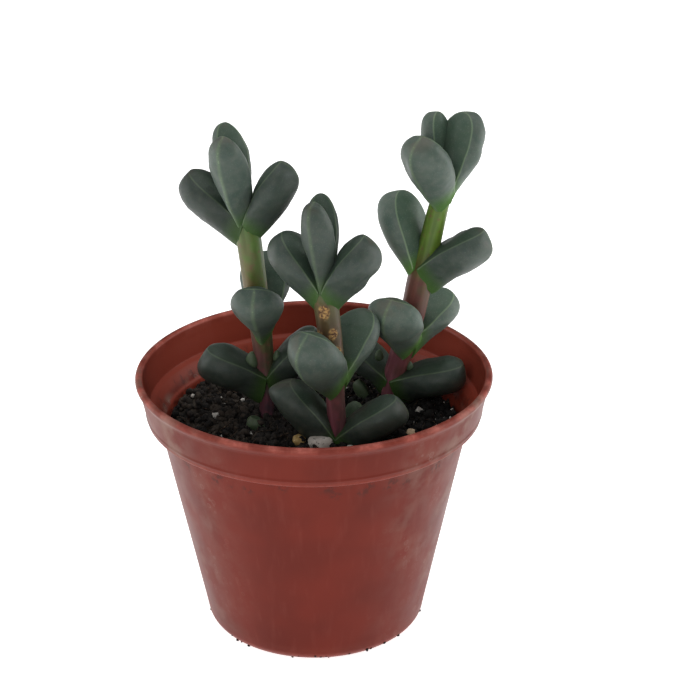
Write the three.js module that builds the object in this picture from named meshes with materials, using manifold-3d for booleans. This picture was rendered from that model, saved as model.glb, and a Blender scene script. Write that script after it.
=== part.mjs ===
// Potted ice plant: three shoots with opposite pairs of fleshy three-sided leaves, in a plastic pot.
// Millimetres, +Z up. The origin is the middle of the pot's underside.
import * as THREE from "three";
import { mergeVertices } from "three/addons/utils/BufferGeometryUtils.js";
import Module from "manifold-3d";

const wasm = await Module();
wasm.setup();

// Clear gap kept between pieces that touch.
const GAP = 0.3;

// Pot, turned about Z.
const POT_HEIGHT = 65.3;
const POT_SIDES = 56;
const RIM_RADIUS = 42.5;
const LIP_WIDTH = 1.8;
const LIP_HEIGHT = 2.0;
const COLLAR_BOTTOM_RADIUS = 40.0;
const COLLAR_BOTTOM_Z = 54.6;
const BODY_TOP_RADIUS = 37.3;
const BODY_FOOT_RADIUS = 26.9;
const FOOT_ROUNDING = 3.0;
const WALL = 1.2;
const FLOOR = 1.4;
const UPPER_STEP_RADIUS = 38.8;
const UPPER_STEP_Z = 56.9;
const STEP_INNER_RADIUS = 35.6;
const STEP_Z = 53.5;
const DRAIN_HOLES = 6;
const DRAIN_RADIUS = 3.0;
const DRAIN_CIRCLE_RADIUS = 16.5;

// Soil.
const SOIL_Z = 51.2;
const SOIL_MOUND = 1.2;
const SOIL_SIDES = 40;
const SOIL_RINGS = 7;

// Leaf outline, as shares of a leaf's length, half width and depth.
const LEAF_AROUND = 12;
const LEAF_ALONG = 10;
const WIDEST_AT = 0.62;
const NECK = 0.5;
const NECK_DEPTH = 0.72;
const DEEPEST_AT = 0.56;
const TIP_BLUNTNESS = 2.4;
const KEEL_SHARPNESS = 0.34;
const MARGIN_INSET = 0.2;
const MARGIN_RISE = 0.3;
const FACE_BULGE = 0.13;
const TIP_BULGE = 0.12;
const TIP_DROOP = 0.04;
const LEAF_ARCH = 1.0;
const CHIN = 0.1;

const STEM_AROUND = 10;
const STEM_STEPS = 16;

const finish = (color, roughness) => new THREE.MeshStandardMaterial({ color, roughness, metalness: 0 });
const POT_FINISH = finish("#8a3d32", 0.45);
const SOIL_FINISH = finish("#2b221d", 0.95);
const LEAF_FINISH = finish("#5f7266", 0.55);
const YOUNG_LEAF_FINISH = finish("#56704f", 0.5);
const PERLITE_FINISH = finish("#e8e6e0", 0.9);

// A shoot: points up its stem with the radius there, and the height along it of each leaf pair.
// A leaf: azimuth from +X and rise above level in degrees, then length, width and depth in millimetres.
// A chin tilts its blunt end back under the tip; a neck is its width at the root as a share of the widest.
const SHOOTS = [
  {
    name: "left",
    finish: finish("#6b5a45", 0.6),
    stem: [
      { at: [-11.9, 3, 45], radius: 1.7 },
      { at: [-11.5, 3, 56.5], radius: 1.8 },
      { at: [-11.7, 3, 62.6], radius: 2.2 },
      { at: [-12.6, 3, 74], radius: 2.6 },
      { at: [-13.8, 3, 86], radius: 2.8 },
      { at: [-15.2, 3, 98.5], radius: 3.0 },
      { at: [-16.0, 3, 102], radius: 2.6 },
      { at: [-16.1, 3, 104.6], radius: 0.8 },
    ],
    pairs: [
      {
        at: [-11.6, 3, 62.6],
        leaves: [
          { name: "1_left", azimuth: 180, rise: 27, length: 15.2, width: 13.0, depth: 8.8, chin: 0.6 },
          { name: "1_right", azimuth: 5, rise: 46, length: 16.6, width: 12.0, depth: 7.6 },
        ],
      },
      {
        at: [-12.0, 3, 77.6],
        leaves: [
          { name: "2_front", azimuth: 262, rise: 49, length: 15.0, width: 12.4, depth: 8.0 },
          { name: "2_back", azimuth: 88, rise: 46, length: 17.0, width: 12.4, depth: 8.0 },
        ],
      },
      {
        at: [-15.7, 3, 102.0],
        leaves: [
          { name: "3_left", azimuth: 165, rise: 40, length: 17.3, width: 12.8, depth: 8.6 },
          { name: "3_right", azimuth: 350, rise: 61, length: 17.0, width: 12.8, depth: 8.0 },
        ],
      },
      {
        at: [-16.0, 3, 103.0],
        leaves: [
          { name: "4_front", azimuth: 246, rise: 67, length: 24.4, width: 9.6, depth: 6.4, neck: 0.36 },
          { name: "4_back", azimuth: 112, rise: 62, length: 22.4, width: 8.6, depth: 5.8, neck: 0.4 },
        ],
      },
    ],
  },
  {
    name: "middle",
    finish: finish("#8a6a50", 0.65),
    stem: [
      { at: [5.2, -10.5, 45], radius: 2.0 },
      { at: [5.5, -10.5, 55.2], radius: 2.2 },
      { at: [5.1, -10.5, 64], radius: 2.2 },
      { at: [4.8, -10.5, 71], radius: 2.5 },
      { at: [3.6, -10.5, 82], radius: 2.8 },
      { at: [2.7, -10.5, 89.5], radius: 2.9 },
      { at: [2.5, -10.5, 91.6], radius: 2.6 },
      { at: [2.6, -10.5, 93.6], radius: 0.8 },
    ],
    pairs: [
      {
        at: [5.4, -10.5, 53.0],
        leaves: [
          { name: "1_left", azimuth: 172, rise: 52, length: 17.2, width: 12.6, depth: 8.2, chin: 0.5 },
          { name: "1_right", azimuth: 355, rise: 37, length: 17.3, width: 12.4, depth: 8.2, chin: 0.25 },
        ],
      },
      {
        at: [5.4, -10.5, 69.6],
        leaves: [
          { name: "2_front", azimuth: 232, rise: 53, length: 16.6, width: 13.4, depth: 9.4 },
          { name: "2_back", azimuth: 62, rise: 40, length: 17.3, width: 12.0, depth: 7.8 },
        ],
      },
      {
        at: [2.4, -10.5, 90.3],
        leaves: [
          { name: "3_left", azimuth: 160, rise: 54, length: 16.0, width: 12.4, depth: 8.4 },
          { name: "3_right", azimuth: 352, rise: 56, length: 16.2, width: 12.6, depth: 8.4 },
        ],
      },
      {
        at: [3.1, -10.5, 91.6],
        leaves: [
          { name: "4_front", azimuth: 245, rise: 78, length: 21.8, width: 7.9, depth: 5.8, neck: 0.36 },
          { name: "4_back", azimuth: 98, rise: 60, length: 21.0, width: 7.6, depth: 5.6, neck: 0.4 },
        ],
      },
    ],
  },
  {
    name: "right",
    finish: finish("#6f7a3c", 0.55),
    stem: [
      { at: [18.5, 11, 46], radius: 2.5 },
      { at: [19.2, 11, 57.5], radius: 2.7 },
      { at: [21.2, 11, 65], radius: 2.7 },
      { at: [23.6, 11, 74], radius: 3.0 },
      { at: [25.4, 11, 84], radius: 3.1 },
      { at: [27.4, 11, 92], radius: 2.6 },
      { at: [29.3, 11, 101.5], radius: 2.4 },
      { at: [30.6, 11, 106.6], radius: 2.2 },
      { at: [31.0, 11, 109], radius: 0.8 },
    ],
    pairs: [
      {
        at: [19.0, 11, 58.0],
        leaves: [
          { name: "1_left", azimuth: 145, rise: 33, length: 13.5, width: 11.0, depth: 7.2 },
          { name: "1_right", azimuth: 349, rise: 17, length: 18.0, width: 12.8, depth: 8.2 },
        ],
      },
      {
        at: [22.8, 11, 69.8],
        leaves: [
          { name: "2_front", azimuth: 239, rise: 54, length: 15.2, width: 14.2, depth: 8.6 },
          { name: "2_back", azimuth: 46, rise: 27, length: 16.2, width: 12.4, depth: 7.8 },
        ],
      },
      {
        at: [25.4, 11, 87.6],
        leaves: [
          { name: "3_left", azimuth: 143, rise: 73, length: 18.6, width: 12.8, depth: 8.6 },
          { name: "3_right", azimuth: 346, rise: 35, length: 18.2, width: 12.8, depth: 8.4 },
        ],
      },
      {
        at: [30.8, 11, 106.6],
        leaves: [
          { name: "4_front", azimuth: 230, rise: 60, length: 18.2, width: 12.6, depth: 8.2 },
          {
            name: "4_back",
            azimuth: 40,
            rise: 72,
            length: 18.6,
            width: 12.8,
            depth: 7.6,
            chin: 0.3,
            neck: 0.4,
          },
        ],
      },
      {
        at: [31.1, 14, 106.8],
        leaves: [{ name: "5_left", azimuth: 140, rise: 82, length: 17.6, width: 8.6, depth: 6.2 }],
      },
    ],
  },
];

// Small leaves that stand by themselves at the feet of the shoots, in the soil, and buds in the leaf angles.
const LOOSE_LEAVES = [
  {
    name: "soil_leaf_left",
    at: [-10.6, 0.2, 48.6],
    azimuth: 215,
    rise: 45,
    length: 7.5,
    width: 5.2,
    depth: 3.8,
  },
  {
    name: "soil_leaf_middle",
    at: [8.0, -4.0, 48.6],
    azimuth: 70,
    rise: 50,
    length: 9.5,
    width: 5.0,
    depth: 3.6,
  },
  {
    name: "soil_leaf_right",
    at: [14.0, 13.0, 49.0],
    azimuth: 180,
    rise: 68,
    length: 8.0,
    width: 4.2,
    depth: 3.2,
  },
];
const BUDS = [
  { name: "left_bud_left", at: [-14.8, 2.2, 66.6], radius: 1.7, height: 4.4 },
  { name: "left_bud_right", at: [-8.9, 2.2, 67.6], radius: 1.0, height: 3.0 },
  { name: "right_bud_left", at: [15.7, 10.6, 64.0], radius: 1.1, height: 3.0 },
  { name: "right_bud_right", at: [23.2, 10.0, 61.4], radius: 0.9, height: 2.4 },
];
const STONES = [
  { name: "pebble_yellow", at: [-3.5, -11.6, 52.0], size: [3.4, 2.8, 2.8], turn: 20, color: "#c2a66a" },
  { name: "pebble_white", at: [1.7, -13.8, 52.4], size: [6.0, 4.2, 3.8], turn: -8, color: "#b9b4aa" },
  { name: "pebble_beige", at: [23.1, -8.2, 52.0], size: [3.0, 2.4, 2.4], turn: 35, color: "#b59a7c" },
];
const PERLITE = [
  { at: [8.6, -15.2, 51.7], size: 1.7, turn: 10 },
  { at: [25.3, 4.6, 51.9], size: 2.0, turn: 50 },
  { at: [-24.0, 1.0, 52.4], size: 1.6, turn: 80 },
  { at: [-17.5, -15.0, 51.8], size: 1.5, turn: 30 },
  { at: [12.0, -24.0, 51.5], size: 1.8, turn: 65 },
  { at: [-4.0, 26.0, 51.9], size: 1.9, turn: 15 },
];

const TAU = 2 * Math.PI;
const radians = THREE.MathUtils.degToRad;
const vector = (list) => new THREE.Vector3(...list);

// Moves every vertex of a closed geometry by place(x, y, z), which returns a Vector3.
function shaped(geometry, place) {
  for (const name of ["normal", "uv"]) geometry.deleteAttribute(name);
  const merged = mergeVertices(geometry, 1e-5);
  const position = merged.getAttribute("position");
  for (let i = 0; i < position.count; i++) {
    const to = place(position.getX(i), position.getY(i), position.getZ(i));
    position.setXYZ(i, to.x, to.y, to.z);
  }
  return merged;
}

function solid(geometry) {
  for (const name of ["normal", "uv"]) if (geometry.getAttribute(name)) geometry.deleteAttribute(name);
  const merged = mergeVertices(geometry, 1e-4);
  return new wasm.Manifold(
    new wasm.Mesh({
      numProp: 3,
      vertProperties: merged.getAttribute("position").array,
      triVerts: new Uint32Array(merged.index.array),
    }),
  );
}

function geometryOf(manifold) {
  const made = manifold.getMesh();
  const geometry = new THREE.BufferGeometry();
  geometry.setAttribute("position", new THREE.BufferAttribute(made.vertProperties, 3));
  geometry.setIndex(new THREE.BufferAttribute(made.triVerts, 1));
  geometry.computeVertexNormals();
  return geometry;
}

// The biggest body of a cut solid, without the crumbs that a cut can leave.
function mainBody(manifold) {
  return manifold.decompose().reduce((a, b) => (b.volume() > a.volume() ? b : a));
}

function node(name, manifold, material) {
  const mesh = new THREE.Mesh(geometryOf(manifold), material);
  mesh.name = name;
  return mesh;
}

// ---- Pot ----
function potProfile() {
  const points = [];
  const add = (radius, z) => points.push(new THREE.Vector2(radius, z));
  const arc = (radius, z, size, from, to, steps) => {
    for (let i = 0; i <= steps; i++) {
      const angle = radians(from + ((to - from) * i) / steps);
      add(radius + size * Math.cos(angle), z + size * Math.sin(angle));
    }
  };
  const lipRadius = LIP_WIDTH / 2;
  const footRadius = BODY_FOOT_RADIUS - FOOT_ROUNDING;
  add(0, 0);
  arc(footRadius, FOOT_ROUNDING, FOOT_ROUNDING, -90, -8, 4);
  add(BODY_TOP_RADIUS, COLLAR_BOTTOM_Z);
  add(COLLAR_BOTTOM_RADIUS, COLLAR_BOTTOM_Z);
  add(RIM_RADIUS - 0.9, POT_HEIGHT - LIP_HEIGHT);
  add(RIM_RADIUS, POT_HEIGHT - LIP_HEIGHT + 0.4);
  arc(RIM_RADIUS - lipRadius, POT_HEIGHT - lipRadius, lipRadius, 0, 180, 5);
  add(UPPER_STEP_RADIUS + 0.6, UPPER_STEP_Z + 0.6);
  add(UPPER_STEP_RADIUS - 0.4, UPPER_STEP_Z);
  add(STEP_INNER_RADIUS + 0.8, STEP_Z + 0.5);
  add(STEP_INNER_RADIUS, STEP_Z);
  add(BODY_FOOT_RADIUS - WALL, FOOT_ROUNDING + FLOOR);
  add(BODY_FOOT_RADIUS - WALL - 1.6, FLOOR);
  add(0, FLOOR);
  return points;
}

function makePot() {
  let pot = solid(new THREE.LatheGeometry(potProfile(), POT_SIDES).rotateX(Math.PI / 2));
  for (let i = 0; i < DRAIN_HOLES; i++) {
    const angle = (TAU * i) / DRAIN_HOLES;
    const hole = new THREE.CylinderGeometry(DRAIN_RADIUS, DRAIN_RADIUS, 4 * FLOOR, 14).rotateX(Math.PI / 2);
    hole.translate(DRAIN_CIRCLE_RADIUS * Math.cos(angle), DRAIN_CIRCLE_RADIUS * Math.sin(angle), 0);
    pot = pot.subtract(solid(hole));
  }
  return pot;
}

// ---- Soil ----
function soilHeight(x, y) {
  const mound = SOIL_MOUND * Math.exp(-((x + 24) ** 2 + (y - 12) ** 2) / 240);
  const roll = 0.35 * Math.sin(x / 4.1 + 1) * Math.cos(y / 5.3);
  return SOIL_Z + mound + roll;
}

function innerWallRadius(z) {
  const share = (z - FOOT_ROUNDING - FLOOR) / (STEP_Z - FOOT_ROUNDING - FLOOR);
  return THREE.MathUtils.lerp(BODY_FOOT_RADIUS - WALL, STEP_INNER_RADIUS, share);
}

function makeSoil() {
  const bottom = FLOOR + GAP;
  const foot = BODY_FOOT_RADIUS - WALL - 2.2;
  const profile = [new THREE.Vector2(0, bottom), new THREE.Vector2(foot, bottom)];
  profile.push(new THREE.Vector2(innerWallRadius(FOOT_ROUNDING + FLOOR) - GAP - 0.1, FOOT_ROUNDING + FLOOR));
  const edge = innerWallRadius(SOIL_Z) - GAP - 0.1;
  for (let i = SOIL_RINGS; i >= 0; i--) profile.push(new THREE.Vector2((edge * i) / SOIL_RINGS, SOIL_Z));
  const turned = new THREE.LatheGeometry(profile, SOIL_SIDES).rotateX(Math.PI / 2);
  return solid(
    shaped(turned, (x, y, z) => new THREE.Vector3(x, y, z > SOIL_Z - 1 ? soilHeight(x, y) : z)),
  );
}

// ---- Stems ----
function stemGeometry(stem, grow) {
  const curve = new THREE.CatmullRomCurve3(stem.map((p) => vector(p.at)));
  const radiusAt = (share) => {
    const place = share * (stem.length - 1);
    const i = Math.min(Math.floor(place), stem.length - 2);
    return THREE.MathUtils.lerp(stem[i].radius, stem[i + 1].radius, place - i) + grow;
  };
  const tube = new THREE.CylinderGeometry(1, 1, 1, STEM_AROUND, STEM_STEPS);
  return shaped(tube, (x, y, z) => {
    const share = y + 0.5;
    const tangent = curve.getTangent(share);
    const across = new THREE.Vector3(0, 1, 0).cross(tangent).normalize();
    const along = tangent.clone().cross(across);
    return curve
      .getPoint(share)
      .addScaledVector(across, z * radiusAt(share))
      .addScaledVector(along, x * radiusAt(share));
  });
}

// ---- Leaves ----
// A smooth step from 0 at low to 1 at high.
const ease = (value, low, high) => THREE.MathUtils.smoothstep(value, low, high);

// Share of the half width at a share t of the length: a neck, the widest place, then a round end.
function widthShare(t, neck) {
  if (t < WIDEST_AT) return neck + (1 - neck) * Math.sin(((Math.PI / 2) * t) / WIDEST_AT) ** 1.3;
  return Math.sqrt(Math.max(0, 1 - ((t - WIDEST_AT) / (1 - WIDEST_AT)) ** 2));
}

// Share of the depth: it grows to its deepest place and then ends bluntly.
function depthShare(t) {
  const share = Math.min(t / DEEPEST_AT, 1);
  const rising = NECK_DEPTH + (1 - NECK_DEPTH) * Math.sin((Math.PI / 2) * share);
  const over = Math.max(0, (t - DEEPEST_AT) / (1 - DEEPEST_AT));
  return rising * Math.max(0, 1 - over ** TIP_BLUNTNESS) ** (1 / TIP_BLUNTNESS);
}

// One point of a cross-section, at an angle round it from one margin over the inner face to the other margin
// and back under the keel: how far it lies across the leaf, and how far towards the inner face.
function sectionPoint(t, turn, wide, deep) {
  const swell = ease(t, 0.02, 0.5);
  const inset = 1 - MARGIN_INSET * swell;
  const sunk = MARGIN_RISE * swell * deep;
  if (turn <= Math.PI) {
    const bulge = FACE_BULGE + TIP_BULGE * ease(t, 0.5, 0.95);
    return { aside: inset * wide * Math.cos(turn), height: bulge * wide * Math.sin(turn) ** 2 };
  }
  const openBy = Math.acos(inset);
  const over = sunk / Math.sqrt(1 - inset ** 2 + 1e-6);
  const angle = ((turn - Math.PI) * (Math.PI + 2 * openBy)) / Math.PI - openBy;
  const lift = Math.sin(angle);
  const keeled = (1 - KEEL_SHARPNESS) * lift + KEEL_SHARPNESS * (1 - Math.abs(Math.cos(angle)));
  const height = lift < 0 ? -sunk - over * lift : -sunk - (deep - sunk) * keeled;
  return { aside: -wide * Math.cos(angle), height };
}

// A sphere's rings become the leaf's cross-sections, from its root on the stem's axis to its apex.
function leafGeometry(leaf, root, grow) {
  const azimuth = radians(leaf.azimuth);
  const rise = radians(leaf.rise);
  const along = new THREE.Vector3(
    Math.cos(rise) * Math.cos(azimuth),
    Math.cos(rise) * Math.sin(azimuth),
    Math.sin(rise),
  );
  const across = new THREE.Vector3(-Math.sin(azimuth), Math.cos(azimuth), 0);
  const inward = along.clone().cross(across);
  const arch = Math.min(LEAF_ARCH, leaf.length / 12);
  const ball = new THREE.SphereGeometry(1, LEAF_AROUND, LEAF_ALONG);
  return shaped(ball, (x, y, z) => {
    const t = (1 - y) / 2;
    const pole = Math.hypot(x, z) < 1e-6;
    const open = pole ? 0 : Math.min(1, t / 0.03);
    const turn = (Math.atan2(z, x) + TAU + 1e-9) % TAU;
    const wide = open * ((leaf.width / 2) * widthShare(t, leaf.neck ?? NECK) + grow);
    const deep = open * (leaf.depth * depthShare(t) + grow);
    const { aside, height } = sectionPoint(t, turn, wide, deep);
    const lifted = turn <= Math.PI ? open * grow * Math.sin(turn) : 0;
    const bend = TIP_DROOP * leaf.depth * t ** 6 - 4 * arch * t * (1 - t);
    const forward = t * leaf.length + (2 * t - 1) * grow - (leaf.chin ?? CHIN) * height * ease(t, 0.45, 0.9);
    return vector(root)
      .addScaledVector(along, forward)
      .addScaledVector(across, aside)
      .addScaledVector(inward, height + lifted - bend);
  });
}

// A block that fills the far side of the plane where the two leaves of a pair meet.
function farSide(root, direction) {
  const size = 60;
  const block = new THREE.BoxGeometry(size, size, size);
  block.translate(GAP / 2 - size / 2, 0, 0);
  block.rotateZ(Math.atan2(direction.y, direction.x));
  block.translate(...root);
  return solid(block);
}

function direction(leaf) {
  const level = Math.cos(radians(leaf.rise));
  const azimuth = radians(leaf.azimuth);
  return new THREE.Vector3(level * Math.cos(azimuth), level * Math.sin(azimuth), 0);
}

// ---- Assembly ----
const plant = new THREE.Group();
const placed = [];

// Takes from a solid what it shares with the pieces already placed, each grown by the gap.
function clearOfOthers(manifold) {
  let cut = manifold;
  for (const other of placed) if (cut.intersect(other).volume() > 0) cut = cut.subtract(other);
  return mainBody(cut);
}

for (const shoot of SHOOTS) {
  plant.add(node("stem_" + shoot.name, solid(stemGeometry(shoot.stem, 0)), shoot.finish));
  placed.push(solid(stemGeometry(shoot.stem, GAP)));
}

for (const shoot of SHOOTS) {
  for (const pair of shoot.pairs) {
    const across = pair.leaves.map(direction);
    pair.leaves.forEach((leaf, i) => {
      const away = across[i].clone().sub(across[1 - i] ?? new THREE.Vector3());
      const whole = solid(leafGeometry(leaf, pair.at, 0)).subtract(farSide(pair.at, away));
      const made = clearOfOthers(whole);
      plant.add(node("leaf_" + shoot.name + "_" + leaf.name, made, LEAF_FINISH));
      placed.push(solid(leafGeometry(leaf, pair.at, GAP)).subtract(farSide(pair.at, away)));
    });
  }
}

for (const bud of BUDS) {
  const egg = new THREE.SphereGeometry(1, 8, 6).rotateX(Math.PI / 2);
  const grown = (grow) =>
    solid(
      shaped(egg.clone(), (x, y, z) => {
        const narrow = 1 - 0.35 * z;
        const reach = bud.radius + grow;
        return vector(bud.at).add(
          new THREE.Vector3(x * reach * narrow, y * reach * narrow, z * (bud.height / 2 + grow)),
        );
      }),
    );
  plant.add(node(bud.name, clearOfOthers(grown(0)), YOUNG_LEAF_FINISH));
  placed.push(grown(GAP));
}

for (const leaf of LOOSE_LEAVES) {
  plant.add(node(leaf.name, clearOfOthers(solid(leafGeometry(leaf, leaf.at, 0))), YOUNG_LEAF_FINISH));
  placed.push(solid(leafGeometry(leaf, leaf.at, GAP)));
}

function stone(size, turn, at, grow, detail) {
  const rough = new THREE.IcosahedronGeometry(1, detail);
  return solid(
    shaped(rough, (x, y, z) => {
      const dent = 1 + 0.07 * Math.sin(4 * x + turn) + 0.06 * Math.cos(5 * y - turn) + 0.04 * Math.sin(6 * z);
      const half = size.map((s) => s / 2 + grow);
      const spot = new THREE.Vector3(x * half[0] * dent, y * half[1] * dent, z * half[2] * dent);
      return spot.applyAxisAngle(new THREE.Vector3(0, 0, 1), radians(turn)).add(vector(at));
    }),
  );
}

for (const pebble of STONES) {
  const whole = stone(pebble.size, pebble.turn, pebble.at, 0, 1);
  plant.add(node(pebble.name, clearOfOthers(whole), finish(pebble.color, 0.8)));
  placed.push(stone(pebble.size, pebble.turn, pebble.at, GAP, 1));
}

PERLITE.forEach((grain, i) => {
  const size = [grain.size, grain.size * 0.85, grain.size * 0.8];
  const made = clearOfOthers(stone(size, grain.turn, grain.at, 0, 0));
  plant.add(node("perlite_" + (i + 1), made, PERLITE_FINISH));
  placed.push(stone(size, grain.turn, grain.at, GAP, 0));
});

plant.add(node("soil", clearOfOthers(makeSoil()), SOIL_FINISH));
plant.add(node("pot", makePot(), POT_FINISH));

export default plant;
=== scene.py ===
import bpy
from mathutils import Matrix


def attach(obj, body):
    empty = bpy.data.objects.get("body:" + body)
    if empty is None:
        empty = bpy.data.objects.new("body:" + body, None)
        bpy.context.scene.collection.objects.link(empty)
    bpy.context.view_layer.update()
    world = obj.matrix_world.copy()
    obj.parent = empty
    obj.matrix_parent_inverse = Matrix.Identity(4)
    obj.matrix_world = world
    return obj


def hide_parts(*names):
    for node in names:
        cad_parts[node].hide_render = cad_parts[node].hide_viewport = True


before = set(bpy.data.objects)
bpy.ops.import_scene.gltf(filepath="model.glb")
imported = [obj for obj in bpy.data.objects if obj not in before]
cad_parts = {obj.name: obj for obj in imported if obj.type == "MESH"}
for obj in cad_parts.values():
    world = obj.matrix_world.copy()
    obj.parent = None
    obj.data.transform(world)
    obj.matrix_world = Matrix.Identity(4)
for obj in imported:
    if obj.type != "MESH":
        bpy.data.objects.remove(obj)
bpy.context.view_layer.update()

"""Potted ice plant: the looks of the leaves, stems, soil, pebbles and pot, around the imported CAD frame."""

import logging
import math
from dataclasses import dataclass, field
from enum import Enum

import bmesh
import bpy
import numpy as np
from mathutils import Vector

LOG = logging.getLogger("ice_plant")
MM = 0.001
FULL_TURN = 2.0 * math.pi
SMOOTH = {"interpolation_type": "SMOOTHSTEP"}
TINTS = {"data_type": "RGBA"}
PRODUCT = {"operation": "MULTIPLY"}
TOTAL = {"operation": "ADD"}

Array = np.ndarray
Point = tuple[float, float, float]
Colour = tuple[float, float, float, float]
Socket = bpy.types.NodeSocket


# ---------------------------------------------------------------- colours and node graphs


def linear(hex_text: str) -> Colour:
    """Turns an sRGB hex colour into the linear RGBA that shaders use.

    Args:
        hex_text: six hex digits after a hash sign.

    Returns:
        Linear red, green, blue and an alpha of one.
    """
    shares = [int(hex_text[i : i + 2], 16) / 255.0 for i in (1, 3, 5)]
    lin = [c / 12.92 if c <= 0.04045 else ((c + 0.055) / 1.055) ** 2.4 for c in shares]
    return (lin[0], lin[1], lin[2], 1.0)


def per_metre(size_mm: float) -> float:
    """Returns the texture scale whose pattern repeats about every size_mm on Object coordinates."""
    return 1.0 / (size_mm * MM)


class Graph:
    """The node tree of one material."""

    def __init__(self, name: str) -> None:
        """Starts a material with an empty tree.

        Args:
            name: the material's name.
        """
        self.material = bpy.data.materials.new(name)
        self.material.use_nodes = True
        self.tree = self.material.node_tree
        self.tree.nodes.clear()

    def add(self, kind: str, settings: dict, links: list | dict, output: str = "") -> Socket | None:
        """Adds a node with its settings and links.

        Args:
            kind: the node's type, without the leading ShaderNode.
            settings: properties of the node.
            links: sockets to link or values to set, in the order of the node's inputs or by their names.
            output: name of the wanted output, or nothing for the first one.

        Returns:
            That output, or None for a node that has none.
        """
        node = self.tree.nodes.new("ShaderNode" + kind)
        for key, value in settings.items():
            setattr(node, key, value)
        live = [socket for socket in node.inputs if socket.enabled]
        named = links.items() if isinstance(links, dict) else enumerate(links)
        for key, value in named:
            socket = live[key] if isinstance(key, int) else next(s for s in live if s.name == key)
            if isinstance(value, Socket):
                self.tree.links.new(value, socket)
            else:
                socket.default_value = value
        made = [socket for socket in node.outputs if socket.enabled and output in ("", socket.name)]
        return made[0] if made else None


# ---------------------------------------------------------------- finishes


@dataclass(frozen=True)
class LeafSkin:
    """Waxy succulent skin: a bloom of wax makes it matt and grey, and the edges show pale tissue."""

    name: str = "succulent_leaf_skin_waxed"
    body: str = "#405047"
    shade: str = "#31463F"
    bloom: str = "#5A6058"
    base_green: str = "#4A6E2E"
    inner_green: str = "#324A36"
    edge: str = "#788C6C"
    ridge: str = "#66785E"
    dots: str = "#5C7060"
    smudge: str = "#27332A"
    blush: str = "#5A4A40"

    def material(self) -> bpy.types.Material:
        """Builds the skin from the leaf's own map of margin, keel, length and inner face.

        Returns:
            The material.
        """
        g = Graph(self.name)
        here = g.add("TexCoord", {}, [], "Object")
        keys = ("along", "margin", "keel", "inner", "tone")
        shares = [g.add("Attribute", {"attribute_name": key}, [], "Fac") for key in keys]
        along, margin, keel, inner, tone = shares
        clouds = g.add("TexNoise", {}, [here, per_metre(7.0), 3.0])
        mottle = g.add("TexNoise", {}, [here, per_metre(1.6), 4.0])
        fine = g.add("TexNoise", {}, [here, per_metre(0.5), 2.0])
        # Two greens in soft clouds, greyed by the wax bloom.
        cloudy = g.add("MapRange", SMOOTH, [clouds, 0.3, 0.7, 0.0, 1.0])
        colour = g.add("Mix", TINTS, [cloudy, linear(self.shade), linear(self.body)])
        waxy = g.add("MapRange", SMOOTH, [mottle, 0.3, 0.75, 0.3, 0.7])
        colour = g.add("Mix", TINTS, [waxy, colour, linear(self.bloom)])
        # The inner face is greener, and so is the foot of the leaf.
        face = g.add("Math", PRODUCT, [inner, 0.45])
        colour = g.add("Mix", TINTS, [face, colour, linear(self.inner_green)])
        foot = g.add("MapRange", SMOOTH, [along, 0.26, 0.0, 0.0, 0.85])
        colour = g.add("Mix", TINTS, [foot, colour, linear(self.base_green)])
        # Fine pale cells under the skin, and a few bruised smudges.
        cells = g.add("TexVoronoi", {}, {"Vector": here, "Scale": per_metre(0.5)})
        dotted = g.add("MapRange", SMOOTH, [cells, 0.32, 0.1, 0.0, 0.45])
        colour = g.add("Mix", TINTS, [dotted, colour, linear(self.dots)])
        bruise = g.add("TexNoise", {}, [here, per_metre(4.2), 2.0])
        bruised = g.add("MapRange", SMOOTH, [bruise, 0.68, 0.76, 0.0, 0.45])
        colour = g.add("Mix", TINTS, [bruised, colour, linear(self.smudge)])
        # A diffuse pale ridge with white flecks, and crisp pale margins.
        ridge = g.add("MapRange", SMOOTH, [keel, 0.8, 0.05, 0.0, 0.5])
        colour = g.add("Mix", TINTS, [ridge, colour, linear(self.ridge)])
        flecks = g.add("MapRange", SMOOTH, [fine, 0.56, 0.68, 0.0, 0.6])
        flecked = g.add("MapRange", SMOOTH, [keel, 0.4, 0.1, 0.0, 1.0])
        flecks = g.add("Math", PRODUCT, [flecks, flecked])
        colour = g.add("Mix", TINTS, [flecks, colour, linear(self.edge)])
        worn = g.add("MapRange", SMOOTH, [along, 0.0, 0.45, 0.9, 0.42])
        rim = g.add("MapRange", SMOOTH, [margin, 0.34, 0.05, 0.0, 1.0])
        rim = g.add("Math", PRODUCT, [rim, worn])
        colour = g.add("Mix", TINTS, [rim, colour, linear(self.edge)])
        tip = g.add("MapRange", SMOOTH, [along, 0.9, 0.995, 0.0, 0.3])
        patchy = g.add("MapRange", SMOOTH, [clouds, 0.5, 0.6, 0.0, 1.0])
        blushed = g.add("Math", PRODUCT, [tip, patchy])
        colour = g.add("Mix", TINTS, [blushed, colour, linear(self.blush)])
        # Painted light and shade: the colour is scaled by each leaf's tone, darker on the low leaves deep in
        # the pot and lighter on some higher ones.
        colour = g.add("VectorMath", {"operation": "SCALE"}, {"Vector": colour, "Scale": tone}, "Vector")
        rough = g.add("MapRange", SMOOTH, [mottle, 0.2, 0.8, 0.42, 0.56])
        grain = g.add("Bump", {}, {"Height": fine, "Distance": 0.02 * MM, "Strength": 0.5})
        skin = g.add("Bump", {}, {"Height": mottle, "Distance": 0.1 * MM, "Strength": 0.35, "Normal": grain})
        surface = g.add(
            "BsdfPrincipled",
            {},
            {
                "Base Color": colour,
                "Roughness": rough,
                "Normal": skin,
                "IOR": 1.42,
                "Specular IOR Level": 0.35,
                "Subsurface Weight": 0.1,
                "Subsurface Radius": (0.7, 1.1, 0.4),
                "Subsurface Scale": 1.2 * MM,
            },
        )
        g.add("OutputMaterial", {}, [surface])
        return g.material


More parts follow.
